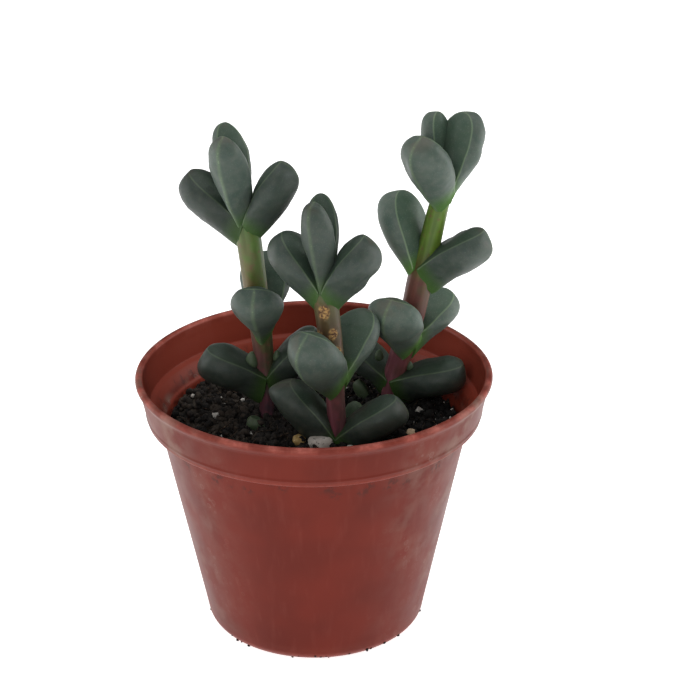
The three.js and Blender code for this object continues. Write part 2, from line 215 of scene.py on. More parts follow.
@dataclass(frozen=True)
class StemSkin:
    """Fleshy stem skin: smooth and slightly ribbed, with dry corky scars where it has been rubbed."""

    name: str = "succulent_stem_skin_ribbed"
    groove_shade: str = "#A8A098"
    cork: str = "#B9925A"
    cork_dark: str = "#5B4030"
    dots: str = "#7A4040"

    def material(self) -> bpy.types.Material:
        """Builds the skin over the stem's tint, its own colour mixed with painted light and shade, with
        ribs, red dots and corky scars.

        Returns:
            The material.
        """
        g = Graph(self.name)
        here = g.add("TexCoord", {}, [], "Object")
        rib, scar = (g.add("Attribute", {"attribute_name": key}, [], "Fac") for key in ("rib", "scar"))
        tint = g.add("Attribute", {"attribute_name": "tint"}, [], "Color")
        grain = g.add("TexNoise", {}, [here, per_metre(0.6), 4.0])
        blotch = g.add("TexNoise", {}, [here, per_metre(1.4), 3.0])
        # Painted shade: the skin is darker in the grooves between the ribs.
        dark = g.add("Mix", TINTS | {"blend_type": "MULTIPLY"}, [1.0, tint, linear(self.groove_shade)])
        groove_shaded = g.add("MapRange", SMOOTH, [rib, 0.1, 0.9, 0.35, 0.0])
        colour = g.add("Mix", TINTS, [groove_shaded, tint, dark])
        reddened = g.add("MapRange", SMOOTH, [blotch, 0.56, 0.72, 0.0, 0.4])
        colour = g.add("Mix", TINTS, [reddened, colour, linear(self.dots)])
        # Dry cork in the scars: broken up, two browns.
        broken = g.add("MapRange", SMOOTH, [grain, 0.38, 0.62, 0.0, 1.0])
        crust = g.add("Mix", TINTS, [broken, linear(self.cork_dark), linear(self.cork)])
        scarred = g.add("MapRange", SMOOTH, [scar, 0.25, 0.6, 0.0, 0.95])
        colour = g.add("Mix", TINTS, [scarred, colour, crust])
        rough = g.add("MapRange", SMOOTH, [scarred, 0.0, 1.0, 0.45, 0.85])
        skin = g.add("Bump", {}, {"Height": grain, "Distance": 0.08 * MM, "Strength": 0.5})
        surface = g.add(
            "BsdfPrincipled",
            {},
            {
                "Base Color": colour,
                "Roughness": rough,
                "Normal": skin,
                "IOR": 1.42,
                "Subsurface Weight": 0.1,
                "Subsurface Radius": (1.2, 0.7, 0.4),
                "Subsurface Scale": 1.0 * MM,
            },
        )
        g.add("OutputMaterial", {}, [surface])
        return g.material


@dataclass(frozen=True)
class PotPlastic:
    """Polypropylene, injection moulded: satin, with flow streaks, rubbed edges and dried water spots, and
    painted light: a sheen at the sides, a highlight on the lip and a lighter inside.
    """

    name: str = "polypropylene_moulded_satin"
    body: str = "#6A2012"
    deep: str = "#5F1B0E"
    rubbed: str = "#BC695D"
    # Painted light: a lighter copy of the body's red for the inner wall above the soil.
    inside: str = "#8B3A2B"
    dust_and_sheen_colour: str = "#8C7468"
    lime: str = "#A8988E"
    dirt: str = "#2E1F1A"

    def material(self) -> bpy.types.Material:
        """Builds the plastic, with streaks down the wall, and dust mixed with a painted sheen at the left
        and right sides, which gathers towards the collar.

        Returns:
            The material.
        """
        g = Graph(self.name)
        here = g.add("TexCoord", {}, [], "Object")
        keys = ("wear_and_highlight", "dust_and_sheen", "soiled", "inside_painted_lighter")
        shares = [g.add("Attribute", {"attribute_name": key}, [], "Fac") for key in keys]
        wear_and_highlight, dust_and_sheen, soiled, inside_painted_lighter = shares
        tall = g.add("Mapping", {}, {"Vector": here, "Scale": (1.0, 1.0, 0.06)})
        streaks = g.add("TexNoise", {}, [tall, per_metre(1.8), 3.0])
        clouds = g.add("TexNoise", {}, [here, per_metre(14.0), 2.0])
        scratchy = g.add("TexNoise", {}, [here, per_metre(1.1), 5.0])
        cloudy = g.add("MapRange", SMOOTH, [clouds, 0.3, 0.7, 0.0, 1.0])
        colour = g.add("Mix", TINTS, [cloudy, linear(self.deep), linear(self.body)])
        # Painted light: the inner wall above the soil is lighter than the outside.
        colour = g.add("Mix", TINTS, [inside_painted_lighter, colour, linear(self.inside)])
        streaky = g.add("MapRange", SMOOTH, [streaks, 0.5, 0.8, 0.0, 0.05])
        colour = g.add("Mix", TINTS, [streaky, colour, linear(self.rubbed)])
        # Rubbed plastic at the collar's edge and the foot; on the lip, rubbed plastic and a painted
        # highlight.
        scuffed = g.add("MapRange", SMOOTH, [scratchy, 0.4, 0.7, 0.5, 0.8])
        worn = g.add("Math", PRODUCT, [wear_and_highlight, scuffed])
        colour = g.add("Mix", TINTS, [worn, colour, linear(self.rubbed)])
        # A film of dust and painted sheen, paler at the left and right sides, and the rings that drops leave
        # when they dry.
        film = g.add("TexNoise", {}, [here, per_metre(5.0), 5.0])
        filmy = g.add("MapRange", SMOOTH, [film, 0.35, 0.7, 0.0, 0.6])
        dust_and_sheen_film = g.add("Math", PRODUCT, [dust_and_sheen, filmy])
        colour = g.add("Mix", TINTS, [dust_and_sheen_film, colour, linear(self.dust_and_sheen_colour)])
        drops = g.add("TexVoronoi", {}, {"Vector": here, "Scale": per_metre(2.4)})
        outside = g.add("MapRange", SMOOTH, [drops, 0.34, 0.30, 0.0, 1.0])
        inside = g.add("MapRange", SMOOTH, [drops, 0.20, 0.27, 0.25, 1.0])
        rings = g.add("Math", PRODUCT, [outside, inside])
        where = g.add("MapRange", SMOOTH, [clouds, 0.5, 0.62, 0.0, 0.25])
        rings = g.add("Math", PRODUCT, [rings, where])
        rings = g.add("Math", PRODUCT, [rings, dust_and_sheen])
        colour = g.add("Mix", TINTS, [rings, colour, linear(self.lime)])
        smear = g.add("MapRange", SMOOTH, [scratchy, 0.45, 0.58, 0.0, 1.0])
        smeared = g.add("Math", PRODUCT, [soiled, smear])
        colour = g.add("Mix", TINTS, [smeared, colour, linear(self.dirt)])
        matt = g.add("MapRange", SMOOTH, [clouds, 0.2, 0.8, 0.33, 0.43])
        duller = g.add("Math", PRODUCT, [dust_and_sheen, 0.14])
        rough = g.add("Math", TOTAL, [matt, duller])
        ripple = g.add("Bump", {}, {"Height": streaks, "Distance": 0.05 * MM, "Strength": 0.3})
        fine = g.add("TexNoise", {}, [here, per_metre(0.5), 3.0])
        skin = g.add("Bump", {}, {"Height": fine, "Distance": 0.015 * MM, "Strength": 0.5, "Normal": ripple})
        face = {"Base Color": colour, "Roughness": rough, "Normal": skin}
        surface = g.add("BsdfPrincipled", {}, face | {"IOR": 1.49, "Specular IOR Level": 0.14})
        g.add("OutputMaterial", {}, [surface])
        return g.material


@dataclass(frozen=True)
class PottingSoil:
    """Damp peat: almost black and crumbly, with brown bits, and faded where it has dried."""

    name: str
    dark: str = "#0C0B0B"
    brown: str = "#2E2A28"
    faded: str = "#443C34"

    def material(self) -> bpy.types.Material:
        """Builds the soil from its own shares of height and dryness; on the bed a low height share paints
        shade in the hollows.

        Returns:
            The material.
        """
        g = Graph(self.name)
        here = g.add("TexCoord", {}, [], "Object")
        lift, dried = (g.add("Attribute", {"attribute_name": key}, [], "Fac") for key in ("lift", "dried"))
        grain = g.add("TexNoise", {}, [here, per_metre(0.8), 5.0])
        patches = g.add("TexNoise", {}, [here, per_metre(2.6), 4.0])
        brown = g.add("MapRange", SMOOTH, [grain, 0.4, 0.75, 0.0, 1.0])
        colour = g.add("Mix", TINTS, [brown, linear(self.dark), linear(self.brown)])
        # Darker where the lift share is low: painted shade in the bed's hollows, a random tone on the crumbs
        # and threads.
        low = g.add("MapRange", SMOOTH, [lift, 0.0, 1.0, 0.75, 0.0])
        colour = g.add("Mix", TINTS, [low, colour, linear(self.dark)])
        patchy = g.add("MapRange", SMOOTH, [patches, 0.42, 0.6, 0.0, 1.0])
        faded = g.add("Math", PRODUCT, [dried, patchy])
        colour = g.add("Mix", TINTS, [faded, colour, linear(self.faded)])
        bumps = g.add("Bump", {}, {"Height": grain, "Distance": 0.3 * MM, "Strength": 0.8})
        face = {"Base Color": colour, "Roughness": 0.92, "Normal": bumps, "IOR": 1.4}
        surface = g.add("BsdfPrincipled", {}, face)
        g.add("OutputMaterial", {}, [surface])
        return g.material


@dataclass(frozen=True)
class StoneFace:
    """Water-worn or expanded mineral: matt, speckled and finely pitted."""

    name: str
    body: str
    speck: str
    stain: str
    roughness: float = 0.75
    speck_mm: float = 0.7

    def material(self) -> bpy.types.Material:
        """Builds the stone's face from stains and specks.

        Returns:
            The material.
        """
        g = Graph(self.name)
        here = g.add("TexCoord", {}, [], "Object")
        clouds = g.add("TexNoise", {}, [here, per_metre(2.2), 3.0])
        specks = g.add("TexNoise", {}, [here, per_metre(self.speck_mm), 3.0])
        pits = g.add("TexNoise", {}, [here, per_metre(0.4), 4.0])
        cloudy = g.add("MapRange", SMOOTH, [clouds, 0.35, 0.7, 0.0, 1.0])
        colour = g.add("Mix", TINTS, [cloudy, linear(self.body), linear(self.stain)])
        specked = g.add("MapRange", SMOOTH, [specks, 0.57, 0.66, 0.0, 0.85])
        colour = g.add("Mix", TINTS, [specked, colour, linear(self.speck)])
        pitted = g.add("Bump", {}, {"Height": pits, "Distance": 0.08 * MM, "Strength": 0.6})
        face = {"Base Color": colour, "Roughness": self.roughness, "Normal": pitted, "IOR": 1.5}
        surface = g.add("BsdfPrincipled", {}, face)
        g.add("OutputMaterial", {}, [surface])
        return g.material


@dataclass(frozen=True)
class FloorPaint:
    """Matt white acrylic sheet lit a little from below, which keeps only a faint shadow."""

    name: str = "backdrop_acrylic_matt_lit"
    body: str = "#F7F7F7"
    patch: str = "#F3F3F3"
    glow: float = 0.9

    def material(self) -> bpy.types.Material:
        """Builds the paint with a faint unevenness.

        Returns:
            The material.
        """
        g = Graph(self.name)
        here = g.add("TexCoord", {}, [], "Object")
        uneven = g.add("TexNoise", {}, [here, per_metre(60.0), 2.0])
        colour = g.add("Mix", TINTS, [uneven, linear(self.body), linear(self.patch)])
        face = {"Base Color": colour, "Roughness": 0.9, "Specular IOR Level": 0.1}
        glow = {"Emission Color": linear(self.body), "Emission Strength": self.glow}
        surface = g.add("BsdfPrincipled", {}, face | glow)
        g.add("OutputMaterial", {}, [surface])
        return g.material


# ---------------------------------------------------------------- meshes from grids


def closed_piece(
    name: str, vertices: Array, faces: list, shares: dict[str, Array], tint: Array | None = None
) -> bpy.types.Object:
    """Makes a mesh object from vertices in millimetres, smooth and with its faces outwards.

    Args:
        name: the piece's name.
        vertices: points, one row each, in millimetres.
        faces: lists of vertex numbers.
        shares: attribute name to one number for each vertex.
        tint: one linear RGB colour for each vertex, or None.

    Returns:
        The object, at the origin.
    """
    mesh = bpy.data.meshes.new(name)
    mesh.from_pydata((vertices * MM).tolist(), [], faces)
    for key, values in shares.items():
        attribute = mesh.attributes.new(key, "FLOAT", "POINT")
        attribute.data.foreach_set("value", np.ascontiguousarray(values, dtype=np.float32).ravel())
    if tint is not None:
        attribute = mesh.attributes.new("tint", "FLOAT_COLOR", "POINT")
        rgba = np.concatenate([tint, np.ones((len(tint), 1))], axis=1)
        attribute.data.foreach_set("color", np.ascontiguousarray(rgba, dtype=np.float32).ravel())
    work = bmesh.new()
    work.from_mesh(mesh)
    bmesh.ops.recalc_face_normals(work, faces=work.faces)
    work.to_mesh(mesh)
    work.free()
    mesh.polygons.foreach_set("use_smooth", np.ones(len(mesh.polygons), dtype=bool))
    mesh.update()
    piece = bpy.data.objects.new(name, mesh)
    bpy.context.scene.collection.objects.link(piece)
    return piece


def tube_faces(rows: int, columns: int) -> list:
    """Lists the faces of a closed tube of rows by columns points, with a pole point at each end.

    Points run row by row; the two poles follow the last row.

    Args:
        rows: number of rings.
        columns: number of points in each ring.

    Returns:
        Quads and triangles as lists of point numbers.
    """
    row = np.arange(rows - 1)[:, None] * columns
    column = np.arange(columns)[None, :]
    after = (column + 1) % columns
    quads = np.stack([row + column, row + after, row + columns + after, row + columns + column], axis=-1)
    ring = np.arange(columns)
    beyond = (ring + 1) % columns
    last_row = (rows - 1) * columns
    low = np.stack([np.full(columns, rows * columns), beyond, ring], axis=-1)
    high = np.stack([np.full(columns, rows * columns + 1), last_row + ring, last_row + beyond], axis=-1)
    return quads.reshape(-1, 4).tolist() + low.tolist() + high.tolist()


def around_axis(count: int) -> Array:
    """Spreads count angles evenly over a full turn."""
    return np.linspace(0.0, FULL_TURN, count, endpoint=False)


def turned(radius: Array, turn: Array, height: Array | float) -> Array:
    """Places points round the upright axis: radius times cosine and sine of the angle, at the height."""
    return np.stack(np.broadcast_arrays(radius * np.cos(turn), radius * np.sin(turn), height), axis=-1)


def with_poles(grid: Array, low: float = 0.0, high: float = 0.0) -> Array:
    """Lists a grid's values row by row, and then those of its two poles."""
    return np.concatenate([grid.ravel(), [low, high]])


def waves(points: Array, size_mm: float, seed: int, count: int = 14) -> Array:
    """Sums sine waves in random directions, which gives a soft noise between about -1 and 1.

    Args:
        points: places in millimetres, one row each.
        size_mm: wavelength.
        seed: seed of the directions and phases.
        count: number of waves.

    Returns:
        One number for each place.
    """
    draw = np.random.default_rng(seed)
    ways = draw.normal(size=(count, points.shape[-1]))
    ways *= FULL_TURN / size_mm / np.linalg.norm(ways, axis=1, keepdims=True)
    ways *= draw.uniform(0.7, 1.4, size=(count, 1))
    phases = draw.uniform(0.0, FULL_TURN, size=count)
    return np.sin(points @ ways.T + phases).sum(axis=-1) * math.sqrt(2.0 / count)


def ease(value: Array, low: float, high: float) -> Array:
    """Rises smoothly from 0 at low to 1 at high."""
    share = np.clip((value - low) / (high - low), 0.0, 1.0)
    return share * share * (3.0 - 2.0 * share)


def unit(vector: Array) -> Array:
    """Returns the vector at length one."""
    return vector / np.linalg.norm(vector, axis=-1, keepdims=True)


def settle(
    piece: bpy.types.Object, material: bpy.types.Material, slot: str, *nodes: str
) -> bpy.types.Object:
    """Dresses a piece, puts it on the root body and names what it stands for.

    Args:
        piece: the finished piece.
        material: its material.
        slot: the record's material slot; not used.
        nodes: the CAD nodes that it replaces.

    Returns:
        The same piece.
    """
    piece.data.materials.append(material)
    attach(piece, "root")
    if nodes:
        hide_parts(*nodes)
    count = len(piece.data.polygons)
    LOG.info("%s: %d faces, stands for %s", piece.name, count, ", ".join(nodes) or "no node")
    return piece


# ---------------------------------------------------------------- stems


@dataclass(frozen=True)
class Joint:
    """One place on a stem's axis: its point and radius in millimetres, and the colours of its two sides,
    which mix the stem's own colour with painted light and shade.
    """

    at: Point
    radius: float
    left: str
    right: str


@dataclass
class Stem:
    """A fleshy stem from its buried foot to the growing tip.

    It swells a little at the heights in nodes, where leaves grow. Each scar has a place across, a height
    and a size, in millimetres.
    """

    name: str
    joints: list[Joint]
    nodes: list[float]
    scars: list[Point] = field(default_factory=list)
    seed: int = 1
    rows: int = 220
    columns: int = 72

    def path(self, count: int) -> tuple[Array, Array]:
        """Samples the axis and radius evenly, with a smoothed line through the joints.

        Args:
            count: number of samples.

        Returns:
            Axis points and radii.
        """
        at = np.array([joint.at for joint in self.joints])
        radii = np.array([joint.radius for joint in self.joints])
        share = np.linspace(0.0, len(at) - 1.0, count)
        known = np.arange(len(at))
        table = np.column_stack([at, radii])
        raw = np.stack([np.interp(share, known, table[:, i]) for i in range(4)], axis=1)
        reach = count // (2 * len(at))
        window = np.hanning(2 * reach + 3)[1:-1]
        window /= window.sum()
        before = 2 * raw[:1] - raw[reach:0:-1]
        after = 2 * raw[-1:] - raw[-2 : -reach - 2 : -1]
        padded = np.concatenate([before, raw, after])
        smooth = np.stack([np.convolve(padded[:, i], window, mode="valid") for i in range(4)], axis=1)
        return smooth[:, :3], np.maximum(smooth[:, 3], 0.3)

    def beside(self, point: Array) -> tuple[float, float]:
        """Measures how far a point is from the stem's axis at its own height.

        Args:
            point: a point near the stem.

        Returns:
            The level distance from the axis, and the stem's radius at that height.
        """
        axis, radii = self.path(240)
        order = np.argsort(axis[:, 2])
        height = axis[order, 2]
        x, y = (np.interp(point[2], height, axis[order, i]) for i in range(2))
        return math.hypot(point[0] - x, point[1] - y), float(np.interp(point[2], height, radii[order]))

    def build(self, skin: bpy.types.Material) -> bpy.types.Object:
        """Carries a ribbed ring up the axis: the radius times one plus ribs and a swelling at each node.

        Args:
            skin: the stem's material.

        Returns:
            The stem piece.
        """
        axis, radii = self.path(self.rows)
        around = around_axis(self.columns)[None, :]
        tangent = unit(np.gradient(axis, axis=0))
        across = unit(np.cross(np.array([0.0, 1.0, 0.0]), tangent))
        inward = np.cross(tangent, across)
        ring = np.cos(around)[..., None] * across[:, None] + np.sin(around)[..., None] * inward[:, None]
        height = axis[:, None, 2] + 0.0 * around
        ribbed = np.stack(np.broadcast_arrays(3.0 * around, 0.12 * height), axis=-1)
        rough = waves(ribbed, 2.2, self.seed, 10)
        swell = sum(np.exp(-(((height - z) / 1.6) ** 2)) for z in self.nodes)
        radius = radii[:, None] * (1.0 + 0.008 * rough + 0.04 * swell)
        points = axis[:, None] + radius[..., None] * ring
        scar = np.zeros_like(height)
        for x, z, size in self.scars:
            gap = np.hypot(points[..., 0] - x, (points[..., 2] - z) * 0.7)
            scar += np.where(ring[..., 1] < 0.2, np.exp(-((gap / size) ** 2)), 0.0)
        points += (0.18 * scar * (0.4 + 0.6 * waves(points, 0.9, self.seed + 7)))[..., None] * ring
        tips = np.stack([axis[0] - tangent[0] * 0.2, axis[-1] + tangent[-1] * 0.5])
        vertices = np.concatenate([points.reshape(-1, 3), tips])
        # The joints' colours are the stem's own red and green, lightened and darkened joint by joint and
        # side by side: painted light and shade.
        zs = np.array([joint.at[2] for joint in self.joints])
        hexes = [[joint.left for joint in self.joints], [joint.right for joint in self.joints]]
        sides = [np.array([linear(text)[:3] for text in side]) for side in hexes]
        tones_with_painted_light = [np.stack([np.interp(height, zs, side[:, i]) for i in range(3)], axis=-1) for side in sides]
        lean = ease(ring[..., 0] + 0.35 * waves(points, 4.0, self.seed + 3), -0.6, 0.6)[..., None]
        tint = (tones_with_painted_light[0] * (1.0 - lean) + tones_with_painted_light[1] * lean).reshape(-1, 3)
        tint = np.concatenate([tint, tint[:1], tint[-1:]])
        shares = {
            "rib": with_poles(0.5 + 0.5 * np.clip(rough, -1.0, 1.0)),
            "scar": with_poles(np.clip(scar, 0.0, 1.0)),
        }
        piece = closed_piece(self.name, vertices, tube_faces(self.rows, self.columns), shares, tint)
        return settle(piece, skin, self.name, self.name)


# ---------------------------------------------------------------- leaves


class LeafKind(Enum):
    """Where a leaf grows."""

    GROWN = "leaf"
    YOUNG = "young_leaf"


@dataclass
class Leaf:
    """A three-sided fleshy leaf: a nearly flat inner face, and two bulging faces that meet at a keel.

    Angles are in degrees and sizes in millimetres. A chin tilts the blunt end back under the tip. The neck
    is the foot's share of the greatest width and depth. The tone is the brightness of the skin: painted
    light and shade.
    """

    name: str
    root: Point
    azimuth: float
    rise: float
    length: float
    width: float
    depth: float
    seed: int
    chin: float = 0.1
    tone: float = 0.5
    kind: LeafKind = LeafKind.GROWN
    stem: Stem | None = None
    rows: int = 96
    columns: int = 80
    widest_at: float = 0.62
    neck_width: float = 0.5
    neck_depth: float = 0.72
    deepest_at: float = 0.56
    bluntness: float = 2.4
    keel_sharpness: float = 0.34
    margin_inset: float = 0.2
    margin_rise: float = 0.3
    face_bulge: float = 0.13
    tip_bulge: float = 0.12
    tip_droop: float = 0.04
    arch: float = 1.0
    margin_bead: float = 0.035
    foot_drop: float = 0.25

    def outline(self, t: Array) -> Array:
        """Gives the half width as a share: a neck, a sine rise to the widest place, then an elliptic end.

        Args:
            t: length shares.

        Returns:
            Shares of the greatest half width.
        """
        neck = np.clip(t, 0.0, self.widest_at) / self.widest_at
        rising = self.neck_width + (1.0 - self.neck_width) * np.sin(0.5 * math.pi * neck) ** 1.3
        over = np.clip((t - self.widest_at) / (1.0 - self.widest_at), 0.0, 1.0)
        return np.where(t < self.widest_at, rising, np.sqrt(1.0 - over**2))

    def thickness(self, t: Array) -> Array:
        """Gives the depth as a share: a sine rise to the deepest place, then a blunt superellipse end.

        Args:
            t: length shares.

        Returns:
            Shares of the greatest depth.
        """
        neck = np.clip(t, 0.0, self.deepest_at) / self.deepest_at
        rising = self.neck_depth + (1.0 - self.neck_depth) * np.sin(0.5 * math.pi * neck)
        over = np.clip((t - self.deepest_at) / (1.0 - self.deepest_at), 0.0, 1.0)
        return rising * (1.0 - over**self.bluntness) ** (1.0 / self.bluntness)

    def section(self, t: Array, turn: Array, wide: Array, deep: Array) -> tuple[Array, Array]:
        """Works out one cross-section for each length share, as distances across and towards the inner face.

        The inner face is a low parabola between the margins. The flanks are an ellipse whose widest
        place lies margin_rise times the depth below the margins, and below that place they are a mix
        of the ellipse and a wedge that meets in the keel. At the foot the margins are the widest place.

        Args:
            t: length shares, one column.
            turn: angles round the section, one row; 0 and half a turn are the margins.
            wide: half widths, one column.
            deep: depths, one column.

        Returns:
            Distances across and heights over the margins' plane.
        """
        swell = ease(t, 0.02, 0.5)
        inset = 1.0 - self.margin_inset * swell
        sunk = self.margin_rise * swell * deep
        open_by = np.arccos(np.clip(inset, 0.0, 1.0))
        over = sunk / np.sqrt(1.0 - inset**2 + 1e-6)
        alpha = (turn - math.pi) * (math.pi + 2.0 * open_by) / math.pi - open_by
        soft = 0.012
        full = math.sqrt(1.0 + soft)
        sharp = (full - np.sqrt(np.cos(alpha) ** 2 + soft)) / (full - math.sqrt(soft))
        keeled = (1.0 - self.keel_sharpness) * np.sin(alpha) + self.keel_sharpness * sharp
        below = np.where(np.sin(alpha) < 0.0, over * np.sin(alpha), (deep - sunk) * keeled)
        flank = -sunk - below
        face = (self.face_bulge + self.tip_bulge * ease(t, 0.5, 0.95)) * wide * np.sin(turn) ** 2
        upper = turn <= math.pi
        across = np.where(upper, inset * wide * np.cos(turn), -wide * np.cos(alpha))
        return across, np.where(upper, face, flank)

    def frame_vectors(self) -> tuple[Array, Array, Array]:
        """Works out the leaf's own directions from its azimuth and rise.

        Returns:
            Unit vectors along it, across it and towards its inner face.
        """
        azimuth, rise = math.radians(self.azimuth), math.radians(self.rise)
        level = math.cos(rise)
        along = np.array([level * math.cos(azimuth), level * math.sin(azimuth), math.sin(rise)])
        across = np.array([-math.sin(azimuth), math.cos(azimuth), 0.0])
        return along, across, np.cross(along, across)

    def surface(self) -> tuple[Array, Array, Array]:
        """Works out the leaf's points on a grid of length share by angle round the section.

        Along the length the section rides on a slight arch towards the inner face, and the tip droops. Near
        a stem the flanks are sheared in and down by their own depth, so that the keel runs down the stem.

        Returns:
            The points, the length shares and the angles.
        """
        draw = np.random.default_rng(self.seed)
        skew, lean, wobble = draw.uniform(-1.0, 1.0, size=3)
        start = -0.05 if self.stem else 0.0
        step = (np.arange(self.rows) + 0.5) / self.rows
        t = (start + (1.0 - start) * 0.5 * (1.0 - np.cos(math.pi * step)))[:, None]
        even = around_axis(self.columns)
        turn = (even - 0.13 * np.sin(4.0 * even))[None, :]
        along, across, inward = self.frame_vectors()
        open_end = np.clip((t - start) / 0.03, 0.0, 1.0)
        wide = open_end * 0.5 * self.width * self.outline(t)
        deep = open_end * self.depth * self.thickness(t)
        aside, height = self.section(t, turn, wide, deep)
        sunk = np.clip(-height / np.maximum(deep, 1e-6), 0.0, 1.0)
        arch = min(self.arch, self.length / 12.0)
        grown = np.clip(t, 0.0, 1.0)
        bend = self.tip_droop * self.depth * grown**6 - 4.0 * arch * t * (1.0 - t)
        sway = 0.03 * self.length * lean * grown**2
        shift = 0.04 * skew * self.width * sunk * grown
        forward = t * self.length - self.chin * height * ease(t, 0.45, 0.9)
        points = (
            np.array(self.root)
            + forward[..., None] * along
            + (aside + sway + shift)[..., None] * across
            + (height - bend)[..., None] * inward
        )
        outward = unit(points - points.mean(axis=1, keepdims=True) + 1e-9)
        lumps = 0.09 * waves(points, 6.5 + wobble, self.seed) + 0.02 * waves(points, 2.4, self.seed + 50)
        points = points + (lumps * open_end * min(1.0, self.width / 10.0))[..., None] * outward
        margin, _ = self.line_gaps(points)
        bead = self.margin_bead * np.exp(-((margin / 0.32) ** 2)) * open_end
        points = points + bead[..., None] * outward
        if self.stem:
            heel = np.array(self.root) - inward * self.depth * self.neck_depth
            gap, radius = self.stem.beside(heel)
            away = np.array([along[0], along[1], 0.0]) / math.hypot(along[0], along[1])
            aside_by, _ = self.stem.beside(np.array(self.root))
            drop = np.array([0.0, 0.0, self.foot_drop * self.depth])
            pull = away * (0.85 * radius + aside_by - gap) - drop
            points = points + (sunk * (1.0 - ease(t, 0.0, 0.34)))[..., None] * pull
        return points, t, turn

    def line_gaps(self, points: Array) -> tuple[Array, Array]:
        """Measures each point's distance to the margins and to the keel, in its own section.

        Args:
            points: the leaf's points by length share and angle.

        Returns:
            Distances to the nearer margin, and distances to the keel.
        """
        columns = (0, self.columns // 2, 3 * self.columns // 4)
        first, second, keel = (np.linalg.norm(points - points[:, i : i + 1], axis=-1) for i in columns)
        return np.minimum(first, second), keel

    def build(self, skin: bpy.types.Material) -> bpy.types.Object:
        """Builds the leaf with its map of length, margins, keel and inner face.

        Args:
            skin: the leaf's material.

        Returns:
            The leaf piece.
        """
        points, t, turn = self.surface()
        margin, keel = self.line_gaps(points)
        margin += 3.0 * (t < 0.0)
        inner = ease(np.sin(turn) + 0.0 * margin, 0.0, 0.12)
        along = np.clip(t, 0.0, 1.0) + 0.0 * margin
        poles = np.stack([points[0].mean(axis=0), points[-1].mean(axis=0)])
        vertices = np.concatenate([points.reshape(-1, 3), poles])
        shares = {
            "along": with_poles(along, 0.0, 1.0),
            "margin": with_poles(margin),
            "keel": with_poles(keel),
            "inner": with_poles(inner, 0.5, 0.5),
            "tone": np.full(len(vertices), self.tone),
        }
        piece = closed_piece(self.name, vertices, tube_faces(self.rows, self.columns), shares)
        return settle(piece, skin, self.kind.value, self.name)


@dataclass
class Bud:
    """A small bud in a leaf angle: two closed young leaves, egg-shaped with a seam and a pointed top."""

    name: str
    at: Point
    radius: float
    height: float
    turn: float = 30.0
    rows: int = 40
    columns: int = 48

    def build(self, skin: bpy.types.Material) -> bpy.types.Object:
        """Turns an egg outline whose radius has two lobes and a pinched seam.

        Args:
            skin: the bud's material.

        Returns:
            The bud piece.
        """
        step = (np.arange(self.rows) + 0.5) / self.rows
        t = (0.5 * (1.0 - np.cos(math.pi * step)))[:, None]
        around = around_axis(self.columns)[None, :]
        egg = np.sqrt(np.clip(1.0 - (2.0 * t - 1.0) ** 2, 0.0, 1.0)) * (1.28 - 0.55 * t)
        seam = np.abs(np.sin(around + math.radians(self.turn)))
        radius = self.radius * egg * (0.86 + 0.14 * seam**0.5)
        points = turned(radius, around, (t - 0.5) * self.height) + np.array(self.at)
        poles = np.array([self.at, self.at], dtype=float)
        poles[:, 2] += (-0.5 * self.height, 0.5 * self.height)
        vertices = np.concatenate([points.reshape(-1, 3), poles])
        gap = self.radius * seam + 0.0 * radius
        shares = {
            "along": with_poles(0.15 + 0.6 * t + 0.0 * radius, 0.1, 0.8),
            "margin": with_poles(gap + 0.25, 1.0, 0.3),
            "keel": with_poles(2.0 + gap, 2.0, 2.0),
            "inner": np.zeros(len(vertices)),
            "tone": np.full(len(vertices), 0.5),
        }
        piece = closed_piece(self.name, vertices, tube_faces(self.rows, self.columns), shares)
        return settle(piece, skin, LeafKind.YOUNG.value, self.name)


@dataclass(frozen=True)
class Growth:
    """One leaf of a pair: its directions in degrees, its size in millimetres, its chin, neck and tone, a
    brightness that paints light and shade.
    """

    place: str
    azimuth: float
    rise: float
    length: float
    width: float
    depth: float
    chin: float = 0.1
    neck: float = 0.5
    tone: float = 1.0


@dataclass
class Shoot:
    """One upright shoot: its stem, and its leaf pairs from the lowest up, each with the point it grows from.

    The tones are the brightness of the skin for each pair: painted shade, darkest on the lowest pair deep in
    the pot, and painted light on some higher pairs.
    """

    name: str
    stem: Stem
    pairs: list[tuple[Point, list[Growth]]]
    seed: int
    tones_with_painted_light: tuple[float, ...] = (1.0,)

    def build(self, stem_skin: bpy.types.Material, leaf_skin: bpy.types.Material) -> None:
        """Builds the stem and every leaf.

        Args:
            stem_skin: the stem's material.
            leaf_skin: the leaves' material.
        """
        self.stem.build(stem_skin)
        for number, (root, pair) in enumerate(self.pairs, start=1):
            for side, grown in enumerate(pair):
                sizes = (grown.azimuth, grown.rise, grown.length, grown.width, grown.depth)
                name = f"leaf_{self.name}_{number}_{grown.place}"
                seed = self.seed + 10 * number + side
                tone = self.tones_with_painted_light[number - 1] * grown.tone
                grip = {"neck_width": grown.neck, "stem": self.stem}
                leaf = Leaf(name, root, *sizes, seed, grown.chin, tone, **grip)
                leaf.build(leaf_skin)
